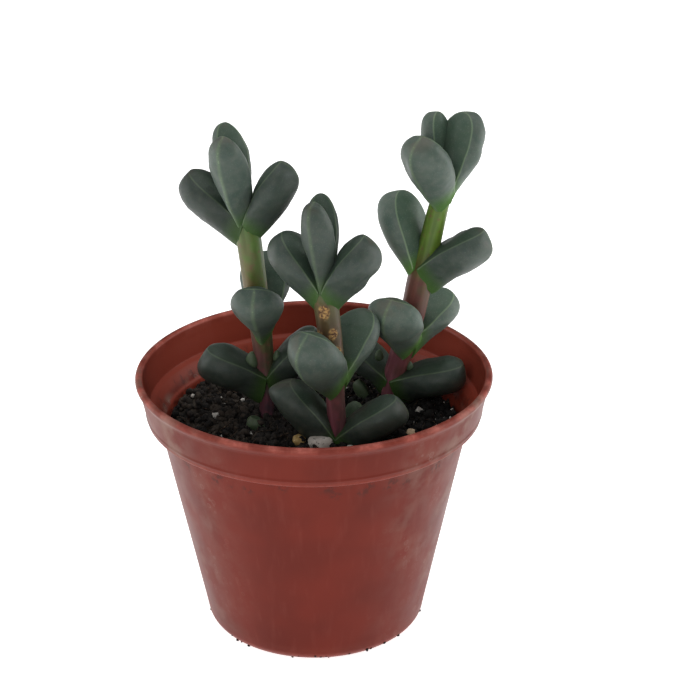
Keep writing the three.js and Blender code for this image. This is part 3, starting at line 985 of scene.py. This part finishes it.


# The tones, pair by pair, and each tone= leaf by leaf, paint light and shade on the leaves.
SHOOTS = [
    Shoot(
        "left",
        Stem(
            "stem_left",
            [
                Joint((-11.9, 3.0, 45.0), 1.7, "#4A3038", "#3E2A30"),
                Joint((-11.5, 3.0, 56.5), 1.8, "#643E48", "#4C3A42"),
                Joint((-11.7, 3.0, 62.6), 2.2, "#724A50", "#565040"),
                Joint((-12.6, 3.0, 74.0), 2.6, "#664A3C", "#585A34"),
                Joint((-13.8, 3.0, 86.0), 2.8, "#766640", "#5E6E34"),
                Joint((-15.2, 3.0, 98.5), 3.0, "#5C6A38", "#567434"),
                Joint((-16.0, 3.0, 102.0), 2.6, "#4E6A32", "#4E6C32"),
                Joint((-16.1, 3.0, 104.6), 0.8, "#4E6A32", "#4E6C32"),
            ],
            [62.6, 77.6, 100.0],
            seed=11,
        ),
        [
            (
                (-11.6, 3.0, 62.6),
                [Growth("left", 180, 27, 15.4, 13.0, 8.8, 0.25), Growth("right", 5, 46, 16.6, 12.0, 7.6)],
            ),
            (
                (-12.0, 3.0, 77.6),
                [Growth("front", 262, 49, 15.0, 12.4, 8.0), Growth("back", 88, 46, 17.0, 12.4, 8.0)],
            ),
            (
                (-15.7, 3.0, 102.0),
                [
                    Growth("left", 165, 40, 17.3, 12.8, 8.6, tone=0.76),
                    Growth("right", 350, 61, 17.0, 12.8, 8.0),
                ],
            ),
            (
                (-16.0, 3.0, 103.0),
                [
                    Growth("front", 246, 67, 24.4, 9.6, 6.4, 0.1, 0.36),
                    Growth("back", 112, 62, 22.4, 8.6, 5.8, 0.1, 0.4),
                ],
            ),
        ],
        100,
        (0.58, 1.08, 0.7, 1.06),
    ),
    Shoot(
        "middle",
        Stem(
            "stem_middle",
            [
                Joint((5.2, -10.5, 45.0), 2.0, "#703E48", "#5C3A40"),
                Joint((5.5, -10.5, 55.2), 2.2, "#804A56", "#684248"),
                Joint((5.1, -10.5, 64.0), 2.2, "#7A4A4C", "#5E443E"),
                Joint((4.8, -10.5, 71.0), 2.5, "#6A4838", "#62503A"),
                Joint((3.6, -10.5, 82.0), 2.8, "#5E4C32", "#584A2E"),
                Joint((2.7, -10.5, 89.5), 2.9, "#56542E", "#505630"),
                Joint((2.5, -10.5, 91.6), 2.6, "#4E6A32", "#4E6C32"),
                Joint((2.6, -10.5, 93.6), 0.8, "#4E6A32", "#4E6C32"),
            ],
            [55.2, 70.3, 89.0],
            [(2.6, 85.5, 1.4), (4.6, 80.0, 1.1), (5.6, 75.5, 1.0), (1.6, 79.5, 0.8), (3.4, 76.6, 0.8)],
            seed=12,
        ),
        [
            (
                (5.4, -10.5, 53.0),
                [
                    Growth("left", 172, 52, 17.2, 12.6, 8.2, 0.5),
                    Growth("right", 355, 37, 17.3, 12.4, 8.2, 0.25),
                ],
            ),
            (
                (5.4, -10.5, 69.6),
                [Growth("front", 232, 53, 16.6, 13.4, 9.4), Growth("back", 62, 40, 17.3, 12.0, 7.8)],
            ),
            (
                (2.4, -10.5, 90.3),
                [Growth("left", 160, 54, 16.0, 12.4, 8.4), Growth("right", 352, 56, 16.2, 12.6, 8.4)],
            ),
            (
                (3.1, -10.5, 91.6),
                [
                    Growth("front", 245, 78, 21.8, 7.9, 5.8, 0.1, 0.36),
                    Growth("back", 98, 60, 21.0, 7.6, 5.6, 0.1, 0.4),
                ],
            ),
        ],
        200,
        (0.68, 1.15, 0.7, 0.76),
    ),
    Shoot(
        "right",
        Stem(
            "stem_right",
            [
                Joint((18.5, 11.0, 46.0), 2.5, "#7A4A52", "#6A4248"),
                Joint((19.2, 11.0, 57.5), 2.7, "#84505A", "#70464A"),
                Joint((21.2, 11.0, 65.0), 2.7, "#885058", "#74483E"),
                Joint((23.6, 11.0, 74.0), 3.0, "#763E3C", "#683C38"),
                Joint((25.4, 11.0, 84.0), 3.1, "#6C4438", "#645034"),
                Joint((27.4, 11.0, 92.0), 2.6, "#5E7A2E", "#688530"),
                Joint((29.3, 11.0, 101.5), 2.4, "#607C30", "#688534"),
                Joint((30.6, 11.0, 106.6), 2.2, "#5C7830", "#607C34"),
                Joint((31.0, 11.0, 109.0), 0.8, "#5C7830", "#607C34"),
            ],
            [58.0, 69.8, 86.0],
            seed=13,
        ),
        [
            (
                (19.0, 11.0, 58.0),
                [Growth("left", 145, 33, 13.5, 11.0, 7.2), Growth("right", 349, 17, 18.0, 12.8, 8.2)],
            ),
            (
                (22.8, 11.0, 69.8),
                [Growth("front", 239, 54, 15.2, 14.2, 8.6), Growth("back", 46, 27, 16.2, 12.4, 7.8)],
            ),
            (
                (25.4, 11.0, 87.6),
                [
                    Growth("left", 143, 73, 18.6, 12.8, 8.6, tone=1.4),
                    Growth("right", 346, 35, 18.2, 12.8, 8.4, tone=0.8),
                ],
            ),
            (
                (30.8, 11.0, 106.6),
                [
                    Growth("front", 230, 60, 18.2, 12.6, 8.2),
                    Growth("back", 40, 72, 18.6, 12.8, 7.6, 0.3, 0.4),
                ],
            ),
            (
                (31.1, 14.0, 106.8),
                [Growth("left", 140, 82, 17.6, 8.6, 6.2)],
            ),
        ],
        300,
        (0.66, 1.6, 1.1, 1.2, 1.3),
    ),
]

LOOSE_LEAVES = [
    Leaf(f"soil_leaf_{place}", root, *sizes, seed, kind=LeafKind.YOUNG, rows=48, columns=48)
    for place, root, sizes, seed in (
        ("left", (-10.6, 0.2, 48.6), (215, 45, 7.5, 5.2, 3.8), 401),
        ("middle", (8.0, -4.0, 48.6), (70, 50, 9.5, 5.0, 3.6), 402),
        ("right", (14.0, 13.0, 49.0), (180, 68, 8.0, 4.2, 3.2), 403),
    )
]

BUDS = [
    Bud("left_bud_left", (-14.8, 2.2, 66.6), 1.7, 4.4),
    Bud("left_bud_right", (-8.9, 2.2, 67.6), 1.0, 3.0),
    Bud("right_bud_left", (15.7, 10.6, 64.0), 1.1, 3.0),
    Bud("right_bud_right", (23.2, 10.0, 61.4), 0.9, 2.4),
]


# ---------------------------------------------------------------- pot


def arc(centre: tuple[float, float], radius: float, first: float, last: float, count: int) -> list:
    """Lists points on an arc in the plane of distance and height.

    Args:
        centre: distance from the axis and height of the arc's centre, in millimetres.
        radius: the arc's radius.
        first: angle of the first point, in degrees from straight outwards.
        last: angle of the last point.
        count: number of points.

    Returns:
        Points as (distance, height).
    """
    turn = np.radians(np.linspace(first, last, count))
    return np.stack([centre[0] + radius * np.cos(turn), centre[1] + radius * np.sin(turn)], axis=-1).tolist()


def straight(first: tuple[float, float], last: tuple[float, float], shares: Array) -> list:
    """Lists the points of a straight line at the given shares of its length."""
    start, end = np.array(first), np.array(last)
    return (start + (end - start) * shares[:, None]).tolist()


@dataclass
class Pot:
    """A tapering nursery pot: one turned wall with a collar, a rolled lip, an inner ledge and drain holes.

    Sizes are in millimetres. A point of the outline is a distance from the axis and a height.
    """

    height: float = 65.3
    foot_radius: float = 23.9
    foot_bend: float = 3.0
    body_low: tuple[float, float] = (26.9, 2.9)
    body_high: tuple[float, float] = (37.2, 53.9)
    collar_low: tuple[float, float] = (40.34, 56.8)
    collar_high: tuple[float, float] = (41.62, 63.0)
    lip_reach: float = 41.6
    lip_bend: float = 0.9
    inside_high: tuple[float, float] = (35.35, 52.6)
    inside_low: tuple[float, float] = (25.9, 4.6)
    floor_thickness: float = 1.4
    columns: int = 288
    holes: int = 6
    hole_radius: float = 3.0
    hole_circle: float = 16.5

    def profile(self) -> Array:
        """Lists the wall's outline from the middle of the underside, up the outside and down the inside.

        Returns:
            Points as (distance, height), one row each.
        """
        underside = [[3.0 * i, 0.0] for i in range(1, 8)]
        foot = arc((self.foot_radius, self.foot_bend), self.foot_bend, -90.0, -8.0, 12)
        body = straight(self.body_low, self.body_high, np.linspace(0.04, 1.0, 30))
        under_collar = arc((37.8, 54.0), 0.55, 180.0, 90.0, 5) + [[38.6, 54.58]]
        collar_edge = arc((39.55, 55.1), 0.5, -90.0, -5.0, 7)
        bead = [[40.12, 55.75], [40.32, 55.95], [40.36, 56.25], [40.28, 56.5], [40.34, 56.8]]
        collar = straight(self.collar_low, self.collar_high, np.linspace(0.15, 1.0, 8))
        lip_centre = (self.lip_reach, self.height - self.lip_bend)
        lip = [[41.95, 63.3]] + arc(lip_centre, self.lip_bend, -25.0, 190.0, 22)
        inner = [[40.5, 62.6], [40.1, 60.6], [39.6, 58.3]] + arc((39.1, 57.6), 0.4, 0.0, -70.0, 4)
        ledge = [[38.5, 56.95], [38.1, 56.6], [37.3, 55.4], [36.6, 54.3], [36.2, 53.9], [35.7, 53.6]]
        ledge += [[35.45, 53.1]]
        inside = straight(self.inside_high, self.inside_low, np.linspace(0.0, 1.0, 20))
        floor = arc((24.1, 3.0), 1.6, -10.0, -90.0, 6)
        floor += [[3.0 * i, self.floor_thickness] for i in range(7, 0, -1)]
        outside = underside + foot + body + under_collar + collar_edge + bead + collar + lip
        return np.array(outside + inner + ledge + inside + floor)

    def build(self, plastic: bpy.types.Material) -> bpy.types.Object:
        """Turns the profile round the axis, with a faint unroundness, and bores the drain holes.

        Args:
            plastic: the pot's material.

        Returns:
            The pot piece.
        """
        profile = self.profile()
        turn = around_axis(self.columns)[None, :]
        reach, height = profile[:, :1], profile[:, 1:]
        warp = 0.09 * waves(np.stack([6.0 * np.cos(turn), 6.0 * np.sin(turn)], axis=-1), 9.0, 5, 8)
        points = turned(reach + warp * ease(height, 8.0, 60.0), turn, height)
        poles = [[0.0, 0.0, 0.0], [0.0, 0.0, self.floor_thickness]]
        vertices = np.concatenate([points.reshape(-1, 3), poles])
        faces = tube_faces(len(profile), self.columns)
        piece = closed_piece("pot_wall", vertices, faces, self.shares(points))
        self.bore(piece)
        return settle(piece, plastic, "pot", "pot")

    def shares(self, points: Array) -> dict[str, Array]:
        """Works out the rubbed edges, with a painted highlight on the lip; the dust, with a painted sheen at
        the sides; the soiled places; and the inside, which is painted lighter.

        Each worn band is a bell curve of the height: the lip at 65 mm, which is also a painted highlight,
        the collar's edge at 54.9 mm and the foot. A cone midway through the wall parts its outside from its
        inside.

        Args:
            points: the wall's points by profile place and angle.

        Returns:
            Share name to one number for each vertex.
        """
        x, y, z = points[..., 0], points[..., 1], points[..., 2]
        reach = np.hypot(x, y)
        sideways = np.abs(x) / np.maximum(reach, 1.0)
        middle = np.where(z > 54.5, 39.4 + 0.165 * (z - 54.6), 0.19 * z + 25.5)
        outside = ease(np.arange(len(z))[:, None] + 0.0 * z, 4.0, 8.0) * (reach > middle)
        # The inside above about 45 mm takes the lighter inside colour: painted light.
        inside_painted_lighter = ease(z, 44.0, 46.0) * (reach < middle)
        patch = 0.35 + 0.65 * ease(waves(points, 16.0, 21), -0.3, 0.9)
        upper = 0.45 + 0.55 * ease(z, 25.0, 58.0)
        # Dust and painted sheen: paler where the wall faces left or right across the view, and higher up.
        dust_and_sheen = outside * ease(sideways, 0.35, 0.95) * patch * upper
        # The lip band is partly rubbed plastic and partly a painted highlight on the lip's rounded top.
        lip = np.exp(-(((z - 65.0) / 0.7) ** 2)) * (0.35 + 0.65 * ease(waves(points, 7.0, 22), -0.6, 0.9))
        edge = np.exp(-(((z - 54.9) / 0.5) ** 2)) * (reach > 39.0) * 0.3
        foot = np.exp(-(((z - 1.0) / 1.2) ** 2)) * 0.5
        crumbs = ease(waves(points, 3.0, 23), 0.5, 1.2)
        splash = 0.5 * (reach < 37.5) * (z > 50.0) * ease(waves(points, 4.0, 24), 0.3, 1.0)
        soiled = np.exp(-((z / 1.6) ** 2)) * crumbs + splash
        return {
            "dust_and_sheen": with_poles(dust_and_sheen),
            "inside_painted_lighter": with_poles(inside_painted_lighter),
            "wear_and_highlight": with_poles(np.clip(lip + edge + foot, 0.0, 1.0)),
            "soiled": with_poles(np.clip(soiled, 0.0, 1.0)),
        }

    def bore(self, piece: bpy.types.Object) -> None:
        """Cuts the drain holes through the floor: six upright cylinders spaced evenly on one circle.

        Args:
            piece: the turned pot.
        """
        sides, ends = 48, (-1.0, 3.0)
        each = len(ends) * (sides + 1)
        vertices, faces = [], []
        for number in range(self.holes):
            way = FULL_TURN * (number + 0.5) / self.holes
            middle = np.array([self.hole_circle * math.cos(way), self.hole_circle * math.sin(way), 0.0])
            rings = [turned(self.hole_radius, around_axis(sides), z) + middle for z in ends]
            poles = [middle + [0.0, 0.0, z] for z in ends]
            faces += [[index + each * number for index in face] for face in tube_faces(len(ends), sides)]
            vertices.append(np.concatenate(rings + [poles]))
        cutter = closed_piece("drain_cutter", np.concatenate(vertices), faces, {})
        cut = piece.modifiers.new("drain holes", "BOOLEAN")
        cut.operation = "DIFFERENCE"
        cut.solver = "EXACT"
        cut.object = cutter
        shaped = piece.evaluated_get(bpy.context.evaluated_depsgraph_get())
        mesh = bpy.data.meshes.new_from_object(shaped)
        piece.modifiers.clear()
        piece.data = mesh
        bpy.data.objects.remove(cutter)


# ---------------------------------------------------------------- soil


SOIL_Z = 51.2
SOIL_EDGE = 34.7


def ground(x: Array, y: Array) -> Array:
    """Gives the soil's height: a level, one low mound at the left, two slow ripples and a fine roughness.

    Args:
        x: places to the right, in millimetres.
        y: places to the back.

    Returns:
        Heights over the ground that the pot stands on.
    """
    mound = 1.2 * np.exp(-(((x + 24.0) ** 2 + (y - 12.0) ** 2) / 240.0))
    ripple = 0.35 * np.sin(x / 4.1 + 1.0) * np.cos(y / 5.3)
    flat = np.stack([x, y], axis=-1)
    rough = 0.42 * waves(flat, 3.4, 31, 18) + 0.2 * waves(flat, 1.3, 32, 18)
    return SOIL_Z + mound + ripple + rough


def dryness(x: Array, y: Array) -> Array:
    """Gives how dry and faded the soil is: a smooth rise towards the left and the front."""
    return ease(-x - 0.4 * y, -2.0, 16.0) * 0.9


@dataclass
class Litter:
    """Small copies of one shape strewn on the soil, in one mesh."""

    name: str
    slot: str
    count: int
    smallest: float
    largest: float
    seed: int
    sunk: float = 0.2

    def places(self, draw: np.random.Generator) -> Array:
        """Strews places evenly over the soil's disc.

        Args:
            draw: the source of random numbers.

        Returns:
            Points on the soil, one row each.
        """
        reach = (SOIL_EDGE - 0.8) * np.sqrt(draw.uniform(size=self.count))
        turn = draw.uniform(0.0, FULL_TURN, size=self.count)
        x, y = reach * np.cos(turn), reach * np.sin(turn)
        return np.stack([x, y, ground(x, y)], axis=-1)

    def frames(self, draw: np.random.Generator) -> Array:
        """Turns each copy its own way.

        Args:
            draw: the source of random numbers.

        Returns:
            A right-handed set of three directions for each copy.
        """
        first = unit(draw.normal(size=(self.count, 3)))
        second = unit(np.cross(first, draw.normal(size=(self.count, 3))))
        return np.stack([first, second, np.cross(first, second)], axis=-1)


@dataclass
class Crumbs(Litter):
    """Crumbs of soil or flecks of perlite: twenty-faced balls, stretched and turned at random.

    The skirt is how many of them cling to the rounded foot of the pot.
    """

    skirt: int = 0

    def build(self, matter: bpy.types.Material) -> bpy.types.Object:
        """Places the balls half sunk, and a few of them on the pot's foot.

        Args:
            matter: their material.

        Returns:
            The crumbs as one piece.
        """
        draw = np.random.default_rng(self.seed)
        work = bmesh.new()
        bmesh.ops.create_icosphere(work, subdivisions=1, radius=1.0)
        solid = np.array([vertex.co[:] for vertex in work.verts])
        corners = np.array([[vertex.index for vertex in face.verts] for face in work.faces])
        work.free()
        places = self.places(draw)
        small = draw.uniform(size=(self.count, 1)) ** 2.6
        size = 0.5 * (self.smallest + (self.largest - self.smallest) * small)
        sizes = size * draw.uniform(0.55, 1.25, size=(self.count, 3))
        places[:, 2] += (size[:, 0] - self.sunk) * 0.6
        if self.skirt:
            way = draw.uniform(0.0, FULL_TURN, size=self.skirt)
            low = draw.uniform(0.15, 1.0, size=self.skirt) ** 1.5
            reach = 23.9 + np.sqrt(9.0 - (3.0 - 1.8 * low) ** 2)
            places[: self.skirt] = turned(reach, way, 1.8 * low)
            sizes[: self.skirt] = np.minimum(sizes[: self.skirt], 0.42)
        frames = self.frames(draw)
        shaken = solid[None] * draw.uniform(0.75, 1.2, size=(self.count, len(solid), 1)) * sizes[:, None, :]
        points = places[:, None] + np.einsum("nij,nvj->nvi", frames, shaken)
        points[..., 2] = np.maximum(points[..., 2], 0.02)
        faces = (corners[None] + (np.arange(self.count) * len(solid))[:, None, None]).reshape(-1, 3)
        tone = np.repeat(draw.uniform(0.2, 1.0, size=self.count), len(solid))
        dried = dryness(places[:, 0], places[:, 1]) * draw.uniform(0.2, 1.0, self.count)
        shares = {"lift": tone, "dried": np.repeat(dried, len(solid))}
        piece = closed_piece(self.name, points.reshape(-1, 3), faces.tolist(), shares)
        return settle(piece, matter, self.slot)


@dataclass
class Fibres(Litter):
    """Roots and bits of straw: thin three-sided threads, each bent along a parabola."""

    rows: int = 7
    thickness: float = 0.14

    def build(self, matter: bpy.types.Material) -> bpy.types.Object:
        """Lays the threads: each is a line bent by the square of its share, and kept on the soil.

        Args:
            matter: their material.

        Returns:
            The threads as one piece.
        """
        draw = np.random.default_rng(self.seed)
        places = self.places(draw)
        frames = self.frames(draw)
        frames[:, 2, 0] *= 0.35
        along = unit(frames[:, :, 0])
        length = self.smallest + (self.largest - self.smallest) * draw.uniform(size=(self.count, 1)) ** 2
        s = np.linspace(-0.5, 0.5, self.rows)[None, :, None]
        bend = frames[:, :, 1][:, None] * 0.3 * length[:, None] * (s**2 - 0.1)
        axis = places[:, None] + along[:, None] * s * length[:, None] + bend
        limit = SOIL_EDGE - 0.4
        reach = np.maximum(np.linalg.norm(axis[..., :2], axis=-1, keepdims=True), 1e-6)
        axis[..., :2] *= np.minimum(1.0, limit / reach)
        axis[..., 2] = np.maximum(axis[..., 2], ground(axis[..., 0], axis[..., 1]) - 0.05) + 0.12
        sides = 3
        turn = around_axis(sides)[None, :, None]
        wide = np.cross(along, frames[:, :, 2])
        ring = np.cos(turn) * wide[:, None] + np.sin(turn) * frames[:, :, 2][:, None]
        thick = self.thickness * draw.uniform(0.5, 1.3, size=(self.count, 1, 1, 1))
        points = (axis[:, :, None] + thick * ring[:, None]).reshape(self.count, -1, 3)
        points = np.concatenate([points, axis[:, :1], axis[:, -1:]], axis=1)
        each = tube_faces(self.rows, sides)
        total = points.shape[1]
        faces = [[index + total * number for index in face] for number in range(self.count) for face in each]
        tone = np.repeat(draw.uniform(0.6, 1.0, size=self.count), total)
        piece = closed_piece(self.name, points.reshape(-1, 3), faces, {"lift": tone, "dried": 0.0 * tone})
        return settle(piece, matter, self.slot)


@dataclass
class SoilBed:
    """The potting soil that fills the pot up to the ledge."""

    rows: int = 150
    columns: int = 360
    bottom_z: float = 3.0

    def build(self, matter: bpy.types.Material) -> bpy.types.Object:
        """Drapes a disc of rings over the ground formula and closes it down the wall and under the floor.

        Args:
            matter: the soil's material.

        Returns:
            The soil piece.
        """
        turn = around_axis(self.columns)[None, :]
        reach = np.linspace(0.3, SOIL_EDGE, self.rows)[:, None]
        x, y = reach * np.cos(turn), reach * np.sin(turn)
        top = np.stack([x, y, ground(x, y)], axis=-1)
        sides = [(34.6, 48.0), (30.4, 26.0), (25.6, 5.0), (23.0, self.bottom_z), (10.0, self.bottom_z)]
        wall = np.array(sides)
        points = np.concatenate([top, turned(wall[:, :1], turn, wall[:, 1:])])
        poles = np.array([[0.0, 0.0, top[0, :, 2].mean()], [0.0, 0.0, self.bottom_z]])
        vertices = np.concatenate([points.reshape(-1, 3), poles])
        # Painted shade: the soil is darker where it lies below its mean level.
        lift = ease(vertices[:, 2] - SOIL_Z, -1.0, 1.2)
        shares = {"lift": lift, "dried": dryness(vertices[:, 0], vertices[:, 1])}
        piece = closed_piece("soil_bed", vertices, tube_faces(len(points), self.columns), shares)
        return settle(piece, matter, "soil", "soil")


# ---------------------------------------------------------------- stones


@dataclass
class Stone:
    """A pebble or a grain of perlite: an ellipsoid pushed in and out by slow and fast waves."""

    name: str
    at: Point
    size: Point
    slot: str
    turn: float = 0.0
    roughness: float = 0.06
    seed: int = 1
    rows: int = 56
    columns: int = 72

    def build(self, face: bpy.types.Material) -> bpy.types.Object:
        """Scales a ball by one plus roughness times the waves, flattens it and turns it on the soil.

        Args:
            face: the stone's material.

        Returns:
            The stone piece.
        """
        polar = math.pi * (np.arange(self.rows) + 0.5) / self.rows
        ball = turned(np.sin(polar)[:, None], around_axis(self.columns)[None, :], -np.cos(polar)[:, None])
        ball = np.concatenate([ball.reshape(-1, 3), [[0.0, 0.0, -1.0], [0.0, 0.0, 1.0]]])
        push = 1.0 + self.roughness * (waves(ball, 1.7, self.seed) + 0.3 * waves(ball, 0.5, self.seed + 9))
        shape = ball * push[:, None] * 0.5 * np.array(self.size)
        cosine, sine = math.cos(math.radians(self.turn)), math.sin(math.radians(self.turn))
        spin = np.array([[cosine, -sine, 0.0], [sine, cosine, 0.0], [0.0, 0.0, 1.0]])
        vertices = shape @ spin.T + np.array(self.at)
        piece = closed_piece(self.name, vertices, tube_faces(self.rows, self.columns), {})
        return settle(piece, face, self.slot, self.name)


PEBBLES = [
    (
        Stone("pebble_yellow", (-3.5, -11.6, 52.0), (3.4, 2.8, 2.8), "pebble_yellow", 20.0, seed=51),
        StoneFace("pebble_quartz_yellow_worn", "#C2A66A", "#E0D0A0", "#9A7E48", 0.6),
    ),
    (
        Stone("pebble_white", (1.7, -13.8, 52.4), (6.0, 4.2, 3.8), "pebble_white", -8.0, seed=52),
        StoneFace("pebble_limestone_white_worn", "#B9B4AA", "#5E5A58", "#CFCAC2", 0.65, 1.0),
    ),
    (
        Stone("pebble_beige", (23.1, -8.2, 52.0), (3.0, 2.4, 2.4), "pebble_beige", 35.0, seed=53),
        StoneFace("pebble_sandstone_beige_worn", "#B59A7C", "#8C7050", "#CDB698", 0.7),
    ),
]

PERLITE = [
    ((8.6, -15.2, 51.7), 1.7),
    ((25.3, 4.6, 51.9), 2.0),
    ((-24.0, 1.0, 52.4), 1.6),
    ((-17.5, -15.0, 51.8), 1.5),
    ((12.0, -24.0, 51.5), 1.8),
    ((-4.0, 26.0, 51.9), 1.9),
]


# ---------------------------------------------------------------- studio


@dataclass(frozen=True)
class SoftBox:
    """A rectangular lamp: its middle, aim and size in millimetres, and its power in watts."""

    name: str
    at: Point
    aim: Point
    wide: float
    tall: float
    power: float
    colour: str = "#FFFFFF"

    def build(self) -> None:
        """Hangs the lamp and turns it towards its aim."""
        lamp = bpy.data.lights.new(self.name, "AREA")
        lamp.shape = "RECTANGLE"
        lamp.size = self.wide * MM
        lamp.size_y = self.tall * MM
        lamp.energy = self.power
        lamp.color = linear(self.colour)[:3]
        hung = bpy.data.objects.new(self.name, lamp)
        hung.location = [v * MM for v in self.at]
        way = Vector(self.aim) - Vector(self.at)
        hung.rotation_euler = way.to_track_quat("-Z", "Y").to_euler()
        bpy.context.scene.collection.objects.link(hung)
        LOG.info("%s: %.2f W", self.name, self.power)


@dataclass
class Studio:
    """Camera, white floor, pale surroundings and soft lamps."""

    camera_at: Point = (8.58, -433.51, 265.91)
    pitch_down: float = 24.30
    lens: float = 102.86
    sensor: float = 36.0
    floor_size: float = 6000.0
    sky: str = "#FFFFFF"
    sky_strength: float = 0.19
    lamps: list[SoftBox] = field(
        default_factory=lambda: [
            SoftBox("overhead", (0.0, 150.0, 760.0), (0.0, 0.0, 60.0), 700.0, 700.0, 2.4),
            SoftBox("front", (-200.0, -640.0, 360.0), (0.0, 0.0, 80.0), 600.0, 420.0, 1.6),
            SoftBox("left_side", (-620.0, 140.0, 260.0), (0.0, 0.0, 60.0), 360.0, 520.0, 1.4),
            SoftBox("right_side", (620.0, 140.0, 260.0), (0.0, 0.0, 60.0), 360.0, 520.0, 2.2),
        ]
    )

    def build(self) -> None:
        """Sets up the studio around the object."""
        scene = bpy.context.scene
        lens = bpy.data.cameras.new("camera")
        lens.sensor_width = self.sensor
        lens.lens = self.lens
        lens.clip_end = 20.0
        camera = bpy.data.objects.new("camera", lens)
        camera.location = [v * MM for v in self.camera_at]
        camera.rotation_euler = (math.radians(90.0 - self.pitch_down), 0.0, 0.0)
        scene.collection.objects.link(camera)
        scene.camera = camera
        scene.view_settings.view_transform = "Standard"
        half = 0.5 * self.floor_size * MM
        mesh = bpy.data.meshes.new("floor")
        corners = [(-half, -half, 0.0), (half, -half, 0.0), (half, half, 0.0), (-half, half, 0.0)]
        mesh.from_pydata(corners, [], [(0, 1, 2, 3)])
        mesh.materials.append(FloorPaint().material())
        floor = bpy.data.objects.new("floor", mesh)
        scene.collection.objects.link(floor)
        world = bpy.data.worlds.new("pale_surroundings")
        world.use_nodes = True
        light = world.node_tree.nodes["Background"]
        light.inputs["Color"].default_value = linear(self.sky)
        light.inputs["Strength"].default_value = self.sky_strength
        scene.world = world
        for lamp in self.lamps:
            lamp.build()


def main() -> None:
    """Builds the plant, the soil, the pot and the studio."""
    logging.basicConfig(level=logging.INFO, format="%(name)s %(message)s")
    Pot().build(PotPlastic().material())
    leaf_skin, stem_skin = LeafSkin().material(), StemSkin().material()
    for shoot in SHOOTS:
        shoot.build(stem_skin, leaf_skin)
    young = {"body": "#5F7A50", "shade": "#4E6E44", "bloom": "#7C8A74"}
    young_skin = LeafSkin(name="succulent_young_leaf_skin", **young).material()
    for leaf in LOOSE_LEAVES:
        leaf.build(young_skin)
    for bud in BUDS:
        bud.build(young_skin)
    peat = PottingSoil("peat_damp_crumbled").material()
    SoilBed().build(peat)
    Crumbs("soil_crumbs", "soil", 4200, 0.5, 2.6, 61, skirt=46).build(peat)
    straw = PottingSoil("root_fibre_dry", dark="#241A14", brown="#6A5A48").material()
    Fibres("soil_fibres", "soil", 420, 3.0, 11.0, 62).build(straw)
    foam = StoneFace("perlite_expanded_crushed", "#D8D5CE", "#F2F0EA", "#B8B4AC", 0.85, 0.5).material()
    Crumbs("soil_perlite_flecks", "perlite", 110, 0.35, 1.3, 63, sunk=0.0).build(foam)
    for number, (at, size) in enumerate(PERLITE, start=1):
        grain = Stone(f"perlite_{number}", at, (size, size, size), "perlite", 0.0, 0.14, 70 + number, 32, 40)
        grain.build(foam)
    for stone, finish in PEBBLES:
        stone.build(finish.material())
    Studio().build()


if __name__ == "__main__":
    main()
